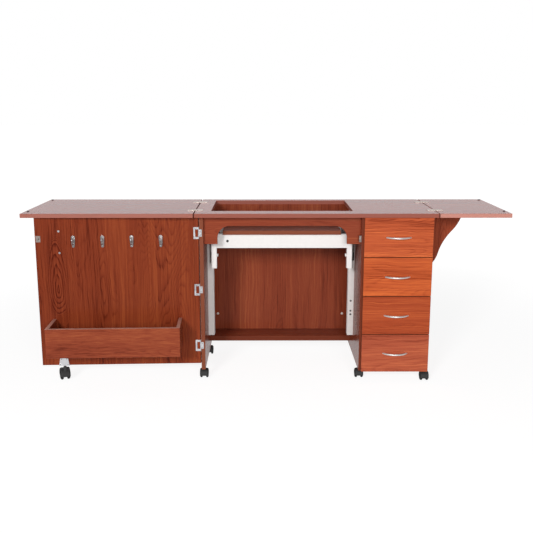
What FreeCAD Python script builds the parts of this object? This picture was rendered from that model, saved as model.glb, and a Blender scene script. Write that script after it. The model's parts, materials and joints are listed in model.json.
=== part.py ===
"""Folding sewing cutting table: a sewing cabinet on casters with two folding leaves.

Every piece is drawn in one of a few frames. The cabinet frame has its origin on the floor below
the front left corner of the main top, with X to the right, Y to the back and Z up. The door frame
stands on the door's hinge pin, and each caster has a frame on its own swivel axis. The nodes carry
these frames into the part's frame, whose origin is on the floor at the middle of the whole object.
"""
import FreeCAD, Part
import os
import re

doc = FreeCAD.newDocument("FoldingSewingCuttingTable")

SIZES = {
    # Top boards
    "main_top_length": 1056,
    "left_leaf_length": 744,
    "right_leaf_length": 310,
    "seam_gap": 5,
    "top_depth": 506,
    "top_height": 768,
    "top_thickness": 18,
    "edge_ease": 0.8,
    # Machine opening in the main top
    "opening_left": 68,
    "opening_length": 626,
    "opening_front": 86,
    "opening_depth": 374,
    # Carcass
    "panel_thickness": 18,
    "left_overhang": 18,
    "right_overhang": 19,
    "drawer_bay_width": 274,
    "back_overhang": 28,
    "back_inset": 2,
    "back_thickness": 16,
    "shelf_bottom": 92,
    "shelf_thickness": 25,
    "shelf_depth": 124,
    "cap_radius": 6,
    "cap_thickness": 2,
    "cap_height": 196,
    "cap_inset": 33,
    # Apron over the knee hole
    "apron_setback": 58,
    "apron_thickness": 16,
    "apron_height": 125,
    "apron_arm_width": 60,
    "apron_rail_height": 44,
    "apron_corner_radius": 55,
    # Door and drawer fronts
    "front_setback": 4,
    "front_thickness": 16,
    "front_gap": 1,
    "front_overlay": 8,
    "front_bottom": 51,
    "front_split": 3,
    "top_clearance": 1,
    # Drawers
    "runner_thickness": 12.5,
    "runner_height": 36,
    "runner_length": 380,
    "runner_wall": 1.6,
    "runner_setback": 6,
    "runner_rise": 30,
    "box_board": 12,
    "box_bottom": 5,
    "box_height": 110,
    "box_depth": 400,
    "box_rise": 22,
    # Bow handles
    "handle_span": 108,
    "handle_bow": 28,
    "handle_radius": 4,
    "handle_screw_spacing": 96,
    "screw_radius": 2,
    "screw_head_radius": 4.5,
    "screw_head_height": 2,
    # Door
    "door_length": 713,
    "door_bottom": 75,
    "door_tilt": 2.2,
    "door_pin_offset": 2.7,
    "door_edge_gap": 0.2,
    "knuckle_room": 0.4,
    "stile_width": 19,
    "stile_depth": 16,
    "stile_rise": 26,
    "door_handle_drop": 110,
    "door_handle_inset": 104,
    # Door pocket
    "pocket_start": 81,
    "pocket_length": 573,
    "pocket_reach": 165,
    "pocket_bottom": 162,
    "pocket_height": 129,
    "pocket_board": 15,
    "pocket_floor": 12,
    # Coat hooks on the door
    "hook_first": 167,
    "hook_spacing": 127,
    "hook_drop": 135,
    "hook_plate_width": 18,
    "hook_plate_height": 54,
    "hook_plate_thickness": 2.5,
    "hook_rod_radius": 3.2,
    "hook_bend_radius": 9,
    "hook_reach": 14,
    "hook_rise": 10,
    "hook_ball_radius": 5,
    "hook_arm_rise": 14,
    # Magnetic catch and its strike plate
    "catch_drop": 110,
    "catch_length": 28,
    "catch_width": 10,
    "catch_depth": 18,
    "strike_inset": 4,
    "strike_width": 20,
    "strike_thickness": 1.5,
    "catch_clearance": 0.5,
    # Door hinges: the fixed plate nests inside the moving frame
    "door_hinge_low_rise": 90,
    "door_hinge_mid_rise": 348,
    "door_hinge_high_drop": 71,
    "door_hinge_thickness": 1.8,
    "door_hinge_axis": 1,
    "door_frame_width": 22,
    "door_frame_height": 52,
    "door_plate_width": 14,
    "door_plate_height": 31,
    "door_plate_margin": 1,
    "door_knuckle_radius": 2.4,
    # Flap hinges of the leaves and the swing bracket
    "flap_plate_width": 33,
    "flap_plate_height": 45,
    "flap_plate_thickness": 1.4,
    "flap_axis": 1.6,
    "flap_knuckle_radius": 2,
    "flap_knuckle_gap": 0.4,
    "leaf_hinge_front": 112,
    "leaf_hinge_rear": 394,
    "pin_radius": 1.2,
    "pin_clearance": 0.05,
    # Rubber bumpers on the leaves
    "bumper_radius": 6,
    "bumper_height": 3,
    "bumper_edge": 14,
    "bumper_front": 75,
    "bumper_rear": 478,
    # Swing bracket under the right leaf
    "bracket_setback": 222,
    "bracket_thickness": 16,
    "bracket_reach": 178,
    "bracket_height": 272,
    "bracket_lean": 11.5,
    "bracket_shoulder_radius": 191,
    "bracket_turn": 43.4,
    "bracket_sweep_radius": 252,
    "bracket_toe_turn": 15.4,
    "bracket_toe_radius": 113,
    "bracket_gap": 1,
    "bracket_top_gap": 0.5,
    "bracket_hinge_axis": 2.3,
    "bracket_hinge_rise": 60,
    "bracket_hinge_drop": 59.5,
    # Lift columns and gas springs
    "column_width": 28,
    "column_depth": 44,
    "column_setback": 258,
    "column_bottom": 145,
    "column_top_gap": 5,
    "column_wall": 2,
    "column_slot": 14,
    "column_window_width": 7,
    "column_window_drop": 105,
    "column_window_height": 140,
    "column_hole_radius": 3,
    "column_hole_height": 248,
    "column_hole_pair": 17,
    "column_hole_rise": 66,
    "spring_radius": 8,
    "spring_length": 297,
    "spring_floor": 8,
    "rod_radius": 4,
    "rod_bottom": 349,
    # Lift carriage and platform
    "lift_drop": 93,
    "platform_side_gap": 29.5,
    "platform_depth": 300,
    "platform_setback": 115,
    "platform_thickness": 18,
    "carriage_setback": 130,
    "carriage_width": 22.5,
    "carriage_gap": 0.5,
    "carriage_leg_height": 94,
    "carriage_leg_depth": 32,
    "carriage_length": 270,
    "carriage_steel": 2.5,
    "carriage_neck": 10,
    "slider_height": 6,
    "slider_gap": 0.5,
    "slider_drop": 11,
    "slider_spacing": 45,
    "beam_height": 63,
    "beam_flange": 20,
    "beam_hole_radius": 4.5,
    "beam_hole_inset": 50,
    "bolt_radius": 7,
    "bolt_head": 6,
    "bolt_drop": 37,
    "bolt_inset": 22,
    # Casters
    "caster_height": 50,
    "knee_caster_setback": 90,
    "right_caster_setback": 52,
    "rear_caster_setback": 427,
    "wheel_radius": 20,
    "wheel_width": 14,
    "caster_trail": 14,
    "caster_web": 9,
    "hood_gap": 1.5,
    "hood_wall": 2,
    "wheel_gap": 0.5,
    "axle_radius": 3,
    "stem_radius": 4,
    "stem_length": 30,
    "stem_end_gap": 2,
    "collar_radius": 7,
    "collar_height": 5,
    "running_gap": 0.3,
    "fit_clearance": 0.05,
    # Door caster and its bracket
    "door_caster_distance": 616,
    "door_wheel_radius": 26,
    "door_wheel_width": 16,
    "door_caster_web": 10,
    "door_caster_trail": 16,
    "door_caster_turn": 20,
    "foot_width": 47,
    "foot_top_width": 34,
    "foot_height": 38,
    "foot_steel": 3,
}

X_AXIS = FreeCAD.Vector(1, 0, 0)
Y_AXIS = FreeCAD.Vector(0, 1, 0)
Z_AXIS = FreeCAD.Vector(0, 0, 1)
AXIS_TURNS = {
    "x": FreeCAD.Rotation(Y_AXIS, 90),
    "y": FreeCAD.Rotation(X_AXIS, -90),
    "z": FreeCAD.Rotation(),
}
WORD = re.compile(r"[a-z][a-z_]+")
DRAWERS = 4
COAT_HOOKS = 4

# Places that several pieces share, as expressions in the cabinet frame
MAIN_LEFT = "(left_leaf_length - right_leaf_length - main_top_length) / 2"
TOP_UNDERSIDE = "top_height - top_thickness"
LEFT_INNER = "left_overhang + panel_thickness"
KNEE_WIDTH = "(main_top_length - left_overhang - right_overhang - 3 * panel_thickness - drawer_bay_width)"
MIDDLE_LEFT = f"{LEFT_INNER} + {KNEE_WIDTH}"
MIDDLE_RIGHT = f"{MIDDLE_LEFT} + panel_thickness"
RIGHT_INNER = f"{MIDDLE_RIGHT} + drawer_bay_width"
RIGHT_OUTER = f"{RIGHT_INNER} + panel_thickness"
FRONT_BACK = "front_setback + front_thickness"
PANEL_FRONT = f"{FRONT_BACK} + front_gap"
PIN_X = "left_overhang - door_pin_offset"
PIN_Y = f"{FRONT_BACK} + stile_depth + door_hinge_axis"
LEFT_PANEL_FRONT = f"{PIN_Y} + door_hinge_axis"
CARCASS_REAR = "top_depth - back_overhang"
BACK_FACE = f"{CARCASS_REAR} - back_inset - back_thickness"
PLATFORM_TOP = "top_height - lift_drop"
BEAM_TOP = f"{PLATFORM_TOP} - platform_thickness"
BEAM_LOW = f"{BEAM_TOP} - beam_height"
COLUMN_TOP = f"{TOP_UNDERSIDE} - column_top_gap"
SLIDER_TOP = f"{BEAM_TOP} - slider_drop"
BRACKET_TOP = f"{TOP_UNDERSIDE} - bracket_top_gap"
# The door's faces in its own frame, where the closed door's thickness runs towards -Y
DOOR_INNER = "door_hinge_axis + stile_depth"
DOOR_OUTER = f"{DOOR_INNER} + front_thickness"
DOOR_TOP = f"{TOP_UNDERSIDE} - top_clearance"
DOOR_END = "-door_edge_gap - door_length"
DOOR_HINGE_LEVELS = {
    "low": "door_bottom + door_hinge_low_rise",
    "mid": "door_bottom + door_hinge_mid_rise",
    "high": f"{DOOR_TOP} - door_hinge_high_drop",
}
CATCH_LOW = f"{DOOR_TOP} - catch_drop"
POCKET_FACE = f"pocket_reach - ({DOOR_INNER})"
POCKET_END = "pocket_start + pocket_length"
FOREMOST = f"{PIN_Y} - ({POCKET_END}) * sin(door_tilt) - ({POCKET_FACE}) * cos(door_tilt)"
FRONT_Y = f"-(top_depth + {FOREMOST}) / 2"

nodes = {}


def make_sheet():
    """Put the driving sizes into a spreadsheet, one alias for each."""
    sheet = doc.addObject("Spreadsheet::Sheet", "Sizes")
    for row, (alias, value) in enumerate(SIZES.items(), 1):
        sheet.set(f"A{row}", alias)
        sheet.set(f"B{row}", str(value))
        sheet.setAlias(f"B{row}", alias)
    doc.recompute()


def bind(item, prop, expression):
    """Bind a property to an expression in the sheet's aliases."""
    item.setExpression(prop, WORD.sub(sheet_name, expression))


def sheet_name(match):
    """The sheet's own name for an alias, and any other word as it is."""
    word = match.group(0)
    return f"Sizes.{word}" if word in SIZES else word


def move(item, x="0", y="0", z="0", turn=FreeCAD.Rotation()):
    """Turn an item and bind its base point."""
    item.Placement = FreeCAD.Placement(FreeCAD.Vector(), turn)
    for axis, place in zip("xyz", (x, y, z)):
        bind(item, f"Placement.Base.{axis}", place)
    return item


def size_box(item, x, y, z):
    """Bind a box's three sizes to its pairs of low and high places."""
    for prop, (low, high) in zip(("Length", "Width", "Height"), (x, y, z)):
        bind(item, prop, f"({high}) - ({low})")


def block(name, x, y, z):
    """A plain box between low and high places on each axis."""
    item = doc.addObject("Part::Box", name)
    size_box(item, x, y, z)
    return move(item, x[0], y[0], z[0])


def board(name, x, y, z):
    """A laminate board, a box with all its edges eased."""
    body = doc.addObject("PartDesign::Body", name)
    core = body.newObject("PartDesign::AdditiveBox", f"{name}_core")
    size_box(core, x, y, z)
    ease = body.newObject("PartDesign::Chamfer", f"{name}_ease")
    ease.Base = (core, [""])
    ease.UseAllEdges = True
    bind(ease, "Size", "edge_ease")
    body.Tip = ease
    return move(body, x[0], y[0], z[0])


def rod(name, axis, radius, length, x="0", y="0", z="0"):
    """A cylinder that starts at a place and runs along one axis."""
    item = doc.addObject("Part::Cylinder", name)
    bind(item, "Radius", radius)
    bind(item, "Height", length)
    return move(item, x, y, z, AXIS_TURNS[axis])


def fuse(name, pieces):
    """Join overlapping pieces into one solid."""
    item = doc.addObject("Part::MultiFuse", name)
    item.Shapes = pieces
    item.Refine = True
    return item


def cut(name, base, tools):
    """Cut one or more tools out of a base."""
    item = doc.addObject("Part::Cut", name)
    item.Base = base
    item.Tool = tools[0] if len(tools) == 1 else group(f"{name}_tools", tools)
    return item


def group(name, pieces):
    """Hold several pieces together as separate solids."""
    item = doc.addObject("Part::Compound", name)
    item.Links = pieces
    return item


def node(label, pieces, x, y, z="0", tilted=False):
    """A finished sub-part: its pieces, carried from their own frame into the part's frame."""
    item = group(f"{label}_node", pieces)
    item.Label = label
    move(item, f"{MAIN_LEFT} + {x}", f"{FRONT_Y} + {y}", z, FreeCAD.Rotation(Z_AXIS, 1))
    bind(item, "Placement.Rotation.Angle", "door_tilt" if tilted else "0")
    nodes[label] = item


def cabinet_node(label, *pieces):
    """A sub-part that is drawn in the cabinet frame."""
    node(label, list(pieces), "0", "0")


def door_node(label, *pieces):
    """A sub-part that is drawn in the door frame, with the door standing open."""
    node(label, list(pieces), PIN_X, PIN_Y, tilted=True)


def make_tops():
    """The main top with its machine opening, and the two leaves beside it."""
    depth = ("0", "top_depth")
    height = (TOP_UNDERSIDE, "top_height")
    main = board("main_board", ("0", "main_top_length"), depth, height)
    hole = block("machine_hole", ("opening_left", "opening_left + opening_length"),
                 ("opening_front", "opening_front + opening_depth"), height)
    cabinet_node("main_top", cut("main_top_cut", main, [hole]))
    left = board("left_leaf_body", ("-seam_gap - left_leaf_length", "-seam_gap"), depth, height)
    cabinet_node("left_leaf_board", left)
    right_start = "main_top_length + seam_gap"
    right = board("right_leaf_body", (right_start, f"{right_start} + right_leaf_length"), depth, height)
    cabinet_node("right_leaf_board", right)


def make_bumpers():
    """Two rubber bumpers near the outer edge of each leaf."""
    outer_edges = {
        "left": "-seam_gap - left_leaf_length + bumper_edge",
        "right": "main_top_length + seam_gap + right_leaf_length - bumper_edge",
    }
    for side, x in outer_edges.items():
        pads = []
        for end in ("front", "rear"):
            pads.append(rod(f"{side}_{end}_bumper", "z", "bumper_radius", "bumper_height",
                            x, f"bumper_{end}", "top_height"))
        cabinet_node(f"{side}_leaf_bumpers", *pads)


def stem_holes(name, x, setbacks, bottom="caster_height"):
    """Blind holes for caster stems in a board's lower edge."""
    holes = []
    for count, setback in enumerate(setbacks):
        holes.append(rod(f"{name}_stem_hole_{count}", "z", "stem_radius + fit_clearance",
                         "stem_length + stem_end_gap", x, setback, bottom))
    return holes


def make_side_panels():
    """The three upright panels, bored for their casters."""
    panels = {
        "left_side_panel": ("left_overhang", LEFT_PANEL_FRONT, ("knee_caster_setback", "rear_caster_setback")),
        "middle_panel": (MIDDLE_LEFT, PANEL_FRONT, ("knee_caster_setback",)),
        "right_side_panel": (RIGHT_INNER, PANEL_FRONT, ("right_caster_setback", "rear_caster_setback")),
    }
    for label, (x, front, setbacks) in panels.items():
        sheet = board(f"{label}_board", (x, f"{x} + panel_thickness"), (front, CARCASS_REAR),
                      ("caster_height", TOP_UNDERSIDE))
        holes = stem_holes(label, f"{x} + panel_thickness / 2", setbacks)
        cabinet_node(label, cut(f"{label}_cut", sheet, holes))


def make_fixed_boards():
    """The back panels, the drawer bay's floor, the knee shelf and its cover caps."""
    back_y = (BACK_FACE, f"{BACK_FACE} + back_thickness")
    knee_x = (LEFT_INNER, MIDDLE_LEFT)
    bay_x = (MIDDLE_RIGHT, RIGHT_INNER)
    knee_back = board("knee_back", knee_x, back_y, ("shelf_bottom", TOP_UNDERSIDE))
    bay_back = board("bay_back", bay_x, back_y, ("caster_height", TOP_UNDERSIDE))
    cabinet_node("back_panels", knee_back, bay_back)
    floor = board("bay_floor", bay_x, (PANEL_FRONT, BACK_FACE),
                  ("caster_height", "caster_height + panel_thickness"))
    cabinet_node("drawer_bay_floor", floor)
    shelf = board("knee_shelf_board", knee_x, (f"{BACK_FACE} - shelf_depth", BACK_FACE),
                  ("shelf_bottom", "shelf_bottom + shelf_thickness"))
    cabinet_node("knee_shelf", shelf)
    caps = []
    for side, x in (("left", f"{LEFT_INNER} + cap_inset"), ("right", f"{MIDDLE_LEFT} - cap_inset")):
        caps.append(rod(f"{side}_cap", "y", "cap_radius", "cap_thickness",
                        x, f"{BACK_FACE} - cap_thickness", "cap_height"))
    cabinet_node("cover_caps", *caps)


def make_apron():
    """The apron over the knee hole, with a cut-out that has two round upper corners."""
    face = ("apron_setback", "apron_setback + apron_thickness")
    bottom = f"{TOP_UNDERSIDE} - apron_height"
    arch_top = f"{TOP_UNDERSIDE} - apron_rail_height"
    spring = f"{arch_top} - apron_corner_radius"
    arch_left = f"{LEFT_INNER} + apron_arm_width"
    arch_right = f"{MIDDLE_LEFT} - apron_arm_width"
    sheet = block("apron_sheet", (LEFT_INNER, MIDDLE_LEFT), face, (bottom, TOP_UNDERSIDE))
    low = block("apron_arch_low", (arch_left, arch_right), face, (bottom, spring))
    centres = (f"{arch_left} + apron_corner_radius", f"{arch_right} - apron_corner_radius")
    high = block("apron_arch_high", centres, face, (spring, arch_top))
    arch = [low, high]
    for count, x in enumerate(centres):
        arch.append(rod(f"apron_corner_{count}", "y", "apron_corner_radius", "apron_thickness",
                        x, "apron_setback", spring))
    cabinet_node("front_apron", cut("apron_cut", sheet, [fuse("apron_arch", arch)]))


def make_handle(name, board_thickness):
    """A bow handle along X on a face at Y = 0, and two screws through the board behind it."""
    sagitta_radius = "(handle_span * handle_span / 4 + handle_bow * handle_bow) / (2 * handle_bow)"
    bow = doc.addObject("Part::Torus", f"{name}_bow")
    bind(bow, "Radius1", sagitta_radius)
    bind(bow, "Radius2", "handle_radius")
    move(bow, y=f"{sagitta_radius} - handle_bow + handle_radius")
    beyond = f"{sagitta_radius} + handle_radius"
    behind = block(f"{name}_behind", (f"-({beyond})", beyond), ("0", f"2 * ({beyond})"),
                   ("-2 * handle_radius", "2 * handle_radius"))
    screws = []
    for side, x in (("low", "-handle_screw_spacing / 2"), ("high", "handle_screw_spacing / 2")):
        shank = rod(f"{name}_{side}_shank", "y", "screw_radius", board_thickness, x)
        head = rod(f"{name}_{side}_head", "y", "screw_head_radius", "screw_head_height",
                   x, board_thickness)
        screws.append(fuse(f"{name}_{side}_screw", [shank, head]))
    return group(f"{name}_set", [cut(f"{name}_bar", bow, [behind])] + screws)


def screw_holes(name, board_thickness):
    """Clearance holes for a handle's two screws, in the same frame as the handle."""
    holes = []
    for side, x in (("low", "-handle_screw_spacing / 2"), ("high", "handle_screw_spacing / 2")):
        holes.append(rod(f"{name}_{side}_hole", "y", "screw_radius + fit_clearance", board_thickness, x))
    return group(f"{name}_holes", holes)


def make_drawers():
    """Four drawers, each a front, a box and its hardware, and the channels that carry them."""
    front_left = f"{MIDDLE_RIGHT} - front_overlay"
    front_height = f"({DOOR_TOP} - front_bottom - {DRAWERS - 1} * front_split) / {DRAWERS}"
    box_left = f"{MIDDLE_RIGHT} + runner_thickness"
    box_right = f"{RIGHT_INNER} - runner_thickness"
    box_back = f"{FRONT_BACK} + box_depth"
    rail_y = (f"{FRONT_BACK} + runner_setback", f"{FRONT_BACK} + runner_setback + runner_length")
    channels = []
    for count in range(1, DRAWERS + 1):
        label = f"drawer_{count}"
        low = f"front_bottom + {DRAWERS - count} * ({front_height} + front_split)"
        box_low = f"{low} + box_rise"
        middle = (f"({front_left} + {RIGHT_OUTER}) / 2", "front_setback", f"{low} + {front_height} / 2")
        sheet = board(f"{label}_sheet", (front_left, RIGHT_OUTER), ("front_setback", FRONT_BACK),
                      (low, f"{low} + {front_height}"))
        holes = move(screw_holes(label, "front_thickness"), *middle)
        cabinet_node(f"{label}_front", cut(f"{label}_front_cut", sheet, [holes]))
        cabinet_node(f"{label}_box", *make_drawer_box(label, box_left, box_right, box_back, box_low))
        handle = move(make_handle(f"{label}_handle", "front_thickness"), *middle)
        rails = []
        for side, wall, face in (("left", MIDDLE_RIGHT, box_left), ("right", RIGHT_INNER, box_right)):
            channel, rail = make_runner(f"{label}_{side}", side, wall, face, rail_y, box_low)
            channels.append(channel)
            rails.append(rail)
        cabinet_node(f"{label}_hardware", handle, *rails)
    cabinet_node("runner_channels", *channels)


def make_drawer_box(label, left, right, back, low):
    """A drawer box of two sides, an inner front, a back and a bottom, behind its front."""
    heights = (low, f"{low} + box_height")
    inner_x = (f"{left} + box_board", f"{right} - box_board")
    behind_screws = f"{FRONT_BACK} + screw_head_height + running_gap"
    inner_y = (f"{behind_screws} + box_board", f"{back} - box_board")
    depth = (FRONT_BACK, back)
    return [
        block(f"{label}_left_side", (left, inner_x[0]), depth, heights),
        block(f"{label}_right_side", (inner_x[1], right), depth, heights),
        block(f"{label}_inner_front", inner_x, (behind_screws, inner_y[0]), heights),
        block(f"{label}_back", inner_x, (inner_y[1], back), heights),
        block(f"{label}_bottom", inner_x, inner_y, (low, f"{low} + box_bottom")),
    ]


def make_runner(name, side, wall, face, rail_y, box_low):
    """A channel on the panel and the rail on the drawer's side that slides inside it."""
    sign = "+" if side == "left" else "-"
    web = f"{wall} {sign} runner_wall"
    lip = f"{face} {'-' if side == 'left' else '+'} running_gap"
    low = f"{box_low} + runner_rise"
    high = f"{low} + runner_height"
    web_x = (wall, web) if side == "left" else (web, wall)
    lip_x = (wall, lip) if side == "left" else (lip, wall)
    inner = f"{web} {sign} running_gap"
    rail_x = (inner, face) if side == "left" else (face, inner)
    channel = fuse(f"{name}_channel", [
        block(f"{name}_web", web_x, rail_y, (low, high)),
        block(f"{name}_lower_lip", lip_x, rail_y, (low, f"{low} + runner_wall")),
        block(f"{name}_upper_lip", lip_x, rail_y, (f"{high} - runner_wall", high)),
    ])
    margin = "runner_wall + running_gap"
    rail = block(f"{name}_rail", rail_x, rail_y, (f"{low} + {margin}", f"{high} - ({margin})"))
    return channel, rail


def make_door():
    """The door panel with its hinge stile, bored for its handle and its caster."""
    panel = board("door_sheet", (DOOR_END, "-door_edge_gap"), (DOOR_INNER, DOOR_OUTER),
                  ("door_bottom", DOOR_TOP))
    handle_x = f"{DOOR_END} + door_handle_inset"
    place = (handle_x, DOOR_OUTER, f"{DOOR_TOP} - door_handle_drop")
    upright = FreeCAD.Rotation(Z_AXIS, 180) * FreeCAD.Rotation(Y_AXIS, 90)
    holes = move(screw_holes("door", "front_thickness"), *place, turn=upright)
    stem = stem_holes("door", "-door_caster_distance", (f"{DOOR_INNER} + front_thickness / 2",),
                      "door_bottom")
    stile = board("door_stile", ("-door_edge_gap - stile_width", "-door_edge_gap"),
                  ("door_hinge_axis", DOOR_INNER), ("door_bottom + stile_rise", DOOR_TOP))
    notches = []
    for level, height in DOOR_HINGE_LEVELS.items():
        half = "(door_frame_height / 2 + knuckle_room)"
        notches.append(block(f"door_{level}_notch", ("-door_knuckle_radius - knuckle_room", "0"),
                             ("door_hinge_axis", "door_knuckle_radius + knuckle_room"),
                             (f"{height} - {half}", f"{height} + {half}")))
    door_node("door_panel", cut("door_cut", panel, [holes] + stem), cut("door_notched_stile", stile, notches))
    door_node("door_handle", move(make_handle("door_handle", "front_thickness"), *place, turn=upright))
    strike_x = f"{DOOR_END} + strike_inset"
    strike = block("strike", (strike_x, f"{strike_x} + strike_width"),
                   (f"{DOOR_INNER} - strike_thickness", DOOR_INNER),
                   (CATCH_LOW, f"{CATCH_LOW} + catch_length"))
    door_node("strike_plate", strike)
    catch_front = f"{FRONT_BACK} + strike_thickness + catch_clearance"
    catch = block("catch_block", (f"{MIDDLE_LEFT} - catch_width", MIDDLE_LEFT),
                  (catch_front, f"{catch_front} + catch_depth"),
                  (CATCH_LOW, f"{CATCH_LOW} + catch_length"))
    cabinet_node("magnetic_catch", catch)


def make_pocket():
    """The open-topped pocket on the door: a front, two sides and a floor."""
    x = (f"-({POCKET_END})", "-pocket_start")
    front_face = f"-({POCKET_FACE})"
    front_back = f"{front_face} + pocket_board"
    height = ("pocket_bottom", "pocket_bottom + pocket_height")
    front = board("pocket_front", x, (front_face, front_back), height)
    sides = []
    for side, low in (("outer", x[0]), ("inner", f"{x[1]} - pocket_board")):
        sides.append(block(f"pocket_{side}_side", (low, f"{low} + pocket_board"),
                           (front_back, DOOR_INNER), height))
    floor = block("pocket_bottom_board", (f"{x[0]} + pocket_board", f"{x[1]} - pocket_board"),
                  (front_back, DOOR_INNER), ("pocket_bottom", "pocket_bottom + pocket_floor"))
    door_node("door_pocket", front, *sides, floor)


def make_coat_hooks():
    """Four hooks on the door: a plate, an arm, an upward bend and a ball end."""
    hooks = []
    for count in range(COAT_HOOKS):
        name = f"hook_{count}"
        plate = block(f"{name}_plate", ("-hook_plate_width / 2", "hook_plate_width / 2"),
                      ("-hook_plate_thickness", "0"), ("0", "hook_plate_height"))
        arm = rod(f"{name}_arm", "y", "hook_rod_radius", "hook_reach", y="-hook_reach", z="hook_arm_rise")
        bend = doc.addObject("Part::Torus", f"{name}_bend")
        bind(bend, "Radius1", "hook_bend_radius")
        bind(bend, "Radius2", "hook_rod_radius")
        bind(bend, "Angle3", "90")
        quarter = FreeCAD.Rotation(Z_AXIS, 180) * FreeCAD.Rotation(Y_AXIS, 90)
        move(bend, y="-hook_reach", z="hook_arm_rise + hook_bend_radius", turn=quarter)
        tip_y = "-hook_reach - hook_bend_radius"
        tip_z = "hook_arm_rise + hook_bend_radius"
        riser = rod(f"{name}_riser", "z", "hook_rod_radius", "hook_rise", y=tip_y, z=tip_z)
        ball = doc.addObject("Part::Sphere", f"{name}_ball")
        bind(ball, "Radius", "hook_ball_radius")
        move(ball, y=tip_y, z=f"{tip_z} + hook_rise")
        hook = fuse(name, [plate, arm, bend, riser, ball])
        hooks.append(move(hook, f"-hook_first - {count} * hook_spacing", DOOR_INNER,
                          f"{DOOR_TOP} - hook_drop"))
    door_node("coat_hooks", *hooks)


def make_hinge(name, side, size, spans):
    """One leaf of a hinge whose pin lies on local Z.

    The plate lies on a surface below the pin, on the +X side when it is fixed and on the -X side
    when it moves. A fixed leaf carries the pin, and a moving leaf is bored for it.
    """
    fixed = side == "fixed"
    start = size["knuckle"] + " + fit_clearance"
    under = f"-{size['axis']}"
    over = f"{under} + {size['thickness']}"
    half = f"{size[side + '_height']} / 2"
    width = size[side + "_width"]
    plate_x = (start, width) if fixed else (f"-{width}", f"-({start})")
    tongue_x = ("0", start) if fixed else (f"-({start})", "0")
    pieces = [block(f"{name}_plate", plate_x, (under, over), (f"-{half}", half))]
    for count, (low, high) in enumerate(spans):
        pieces.append(block(f"{name}_tongue_{count}", tongue_x, (under, over), (low, high)))
        pieces.append(rod(f"{name}_knuckle_{count}", "z", size["knuckle"], f"({high}) - ({low})", z=low))
    pin_half = f"{size['moving_height']} / 2"
    if fixed:
        pieces.append(rod(f"{name}_pin", "z", "pin_radius", f"2 * {pin_half}", z=f"-{pin_half}"))
        return fuse(name, pieces)
    bore = rod(f"{name}_bore", "z", "pin_radius + pin_clearance", f"2 * {pin_half}", z=f"-{pin_half}")
    tools = [bore]
    if "window" in size:
        inner = f"{size['window']} / 2"
        tools.append(block(f"{name}_window", (f"-{size['window_width']}", "0"), (under, over),
                           (f"-{inner}", inner)))
    return cut(name, fuse(f"{name}_whole", pieces), tools)


FLAP_HINGE = {
    "knuckle": "flap_knuckle_radius",
    "axis": "flap_axis",
    "thickness": "flap_plate_thickness",
    "fixed_width": "flap_plate_width",
    "moving_width": "flap_plate_width",
    "fixed_height": "flap_plate_height",
    "moving_height": "flap_plate_height",
}
BRACKET_HINGE = dict(FLAP_HINGE, axis="bracket_hinge_axis")
DOOR_HINGE = {
    "knuckle": "door_knuckle_radius",
    "axis": "door_hinge_axis",
    "thickness": "door_hinge_thickness",
    "fixed_width": "door_plate_width",
    "moving_width": "door_frame_width",
    "fixed_height": "door_plate_height",
    "moving_height": "door_frame_height",
    "window": "(door_plate_height + 2 * door_plate_margin)",
    "window_width": "(door_plate_width + door_plate_margin)",
}


def flap_hinge(name, size):
    """Both leaves of a flap hinge, with three knuckles of like length."""
    third = "flap_plate_height / 6"
    inner = f"({third} - flap_knuckle_gap / 2)"
    outer = f"({third} + flap_knuckle_gap / 2)"
    half = "flap_plate_height / 2"
    fixed = make_hinge(f"{name}_fixed", "fixed", size, [(f"-{inner}", inner)])
    ends = [(f"-{half}", f"-{outer}"), (outer, half)]
    moving = make_hinge(f"{name}_moving", "moving", size, ends)
    return fixed, moving


def door_hinge(name):
    """Both leaves of a door hinge: a plate, and a frame that closes around it."""
    plate = "door_plate_height / 2"
    window = f"{DOOR_HINGE['window']} / 2"
    half = "door_frame_height / 2"
    fixed = make_hinge(f"{name}_fixed", "fixed", DOOR_HINGE, [(f"-{plate}", plate)])
    arms = [(f"-{half}", f"-{window}"), (window, half)]
    moving = make_hinge(f"{name}_moving", "moving", DOOR_HINGE, arms)
    return fixed, moving


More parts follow.
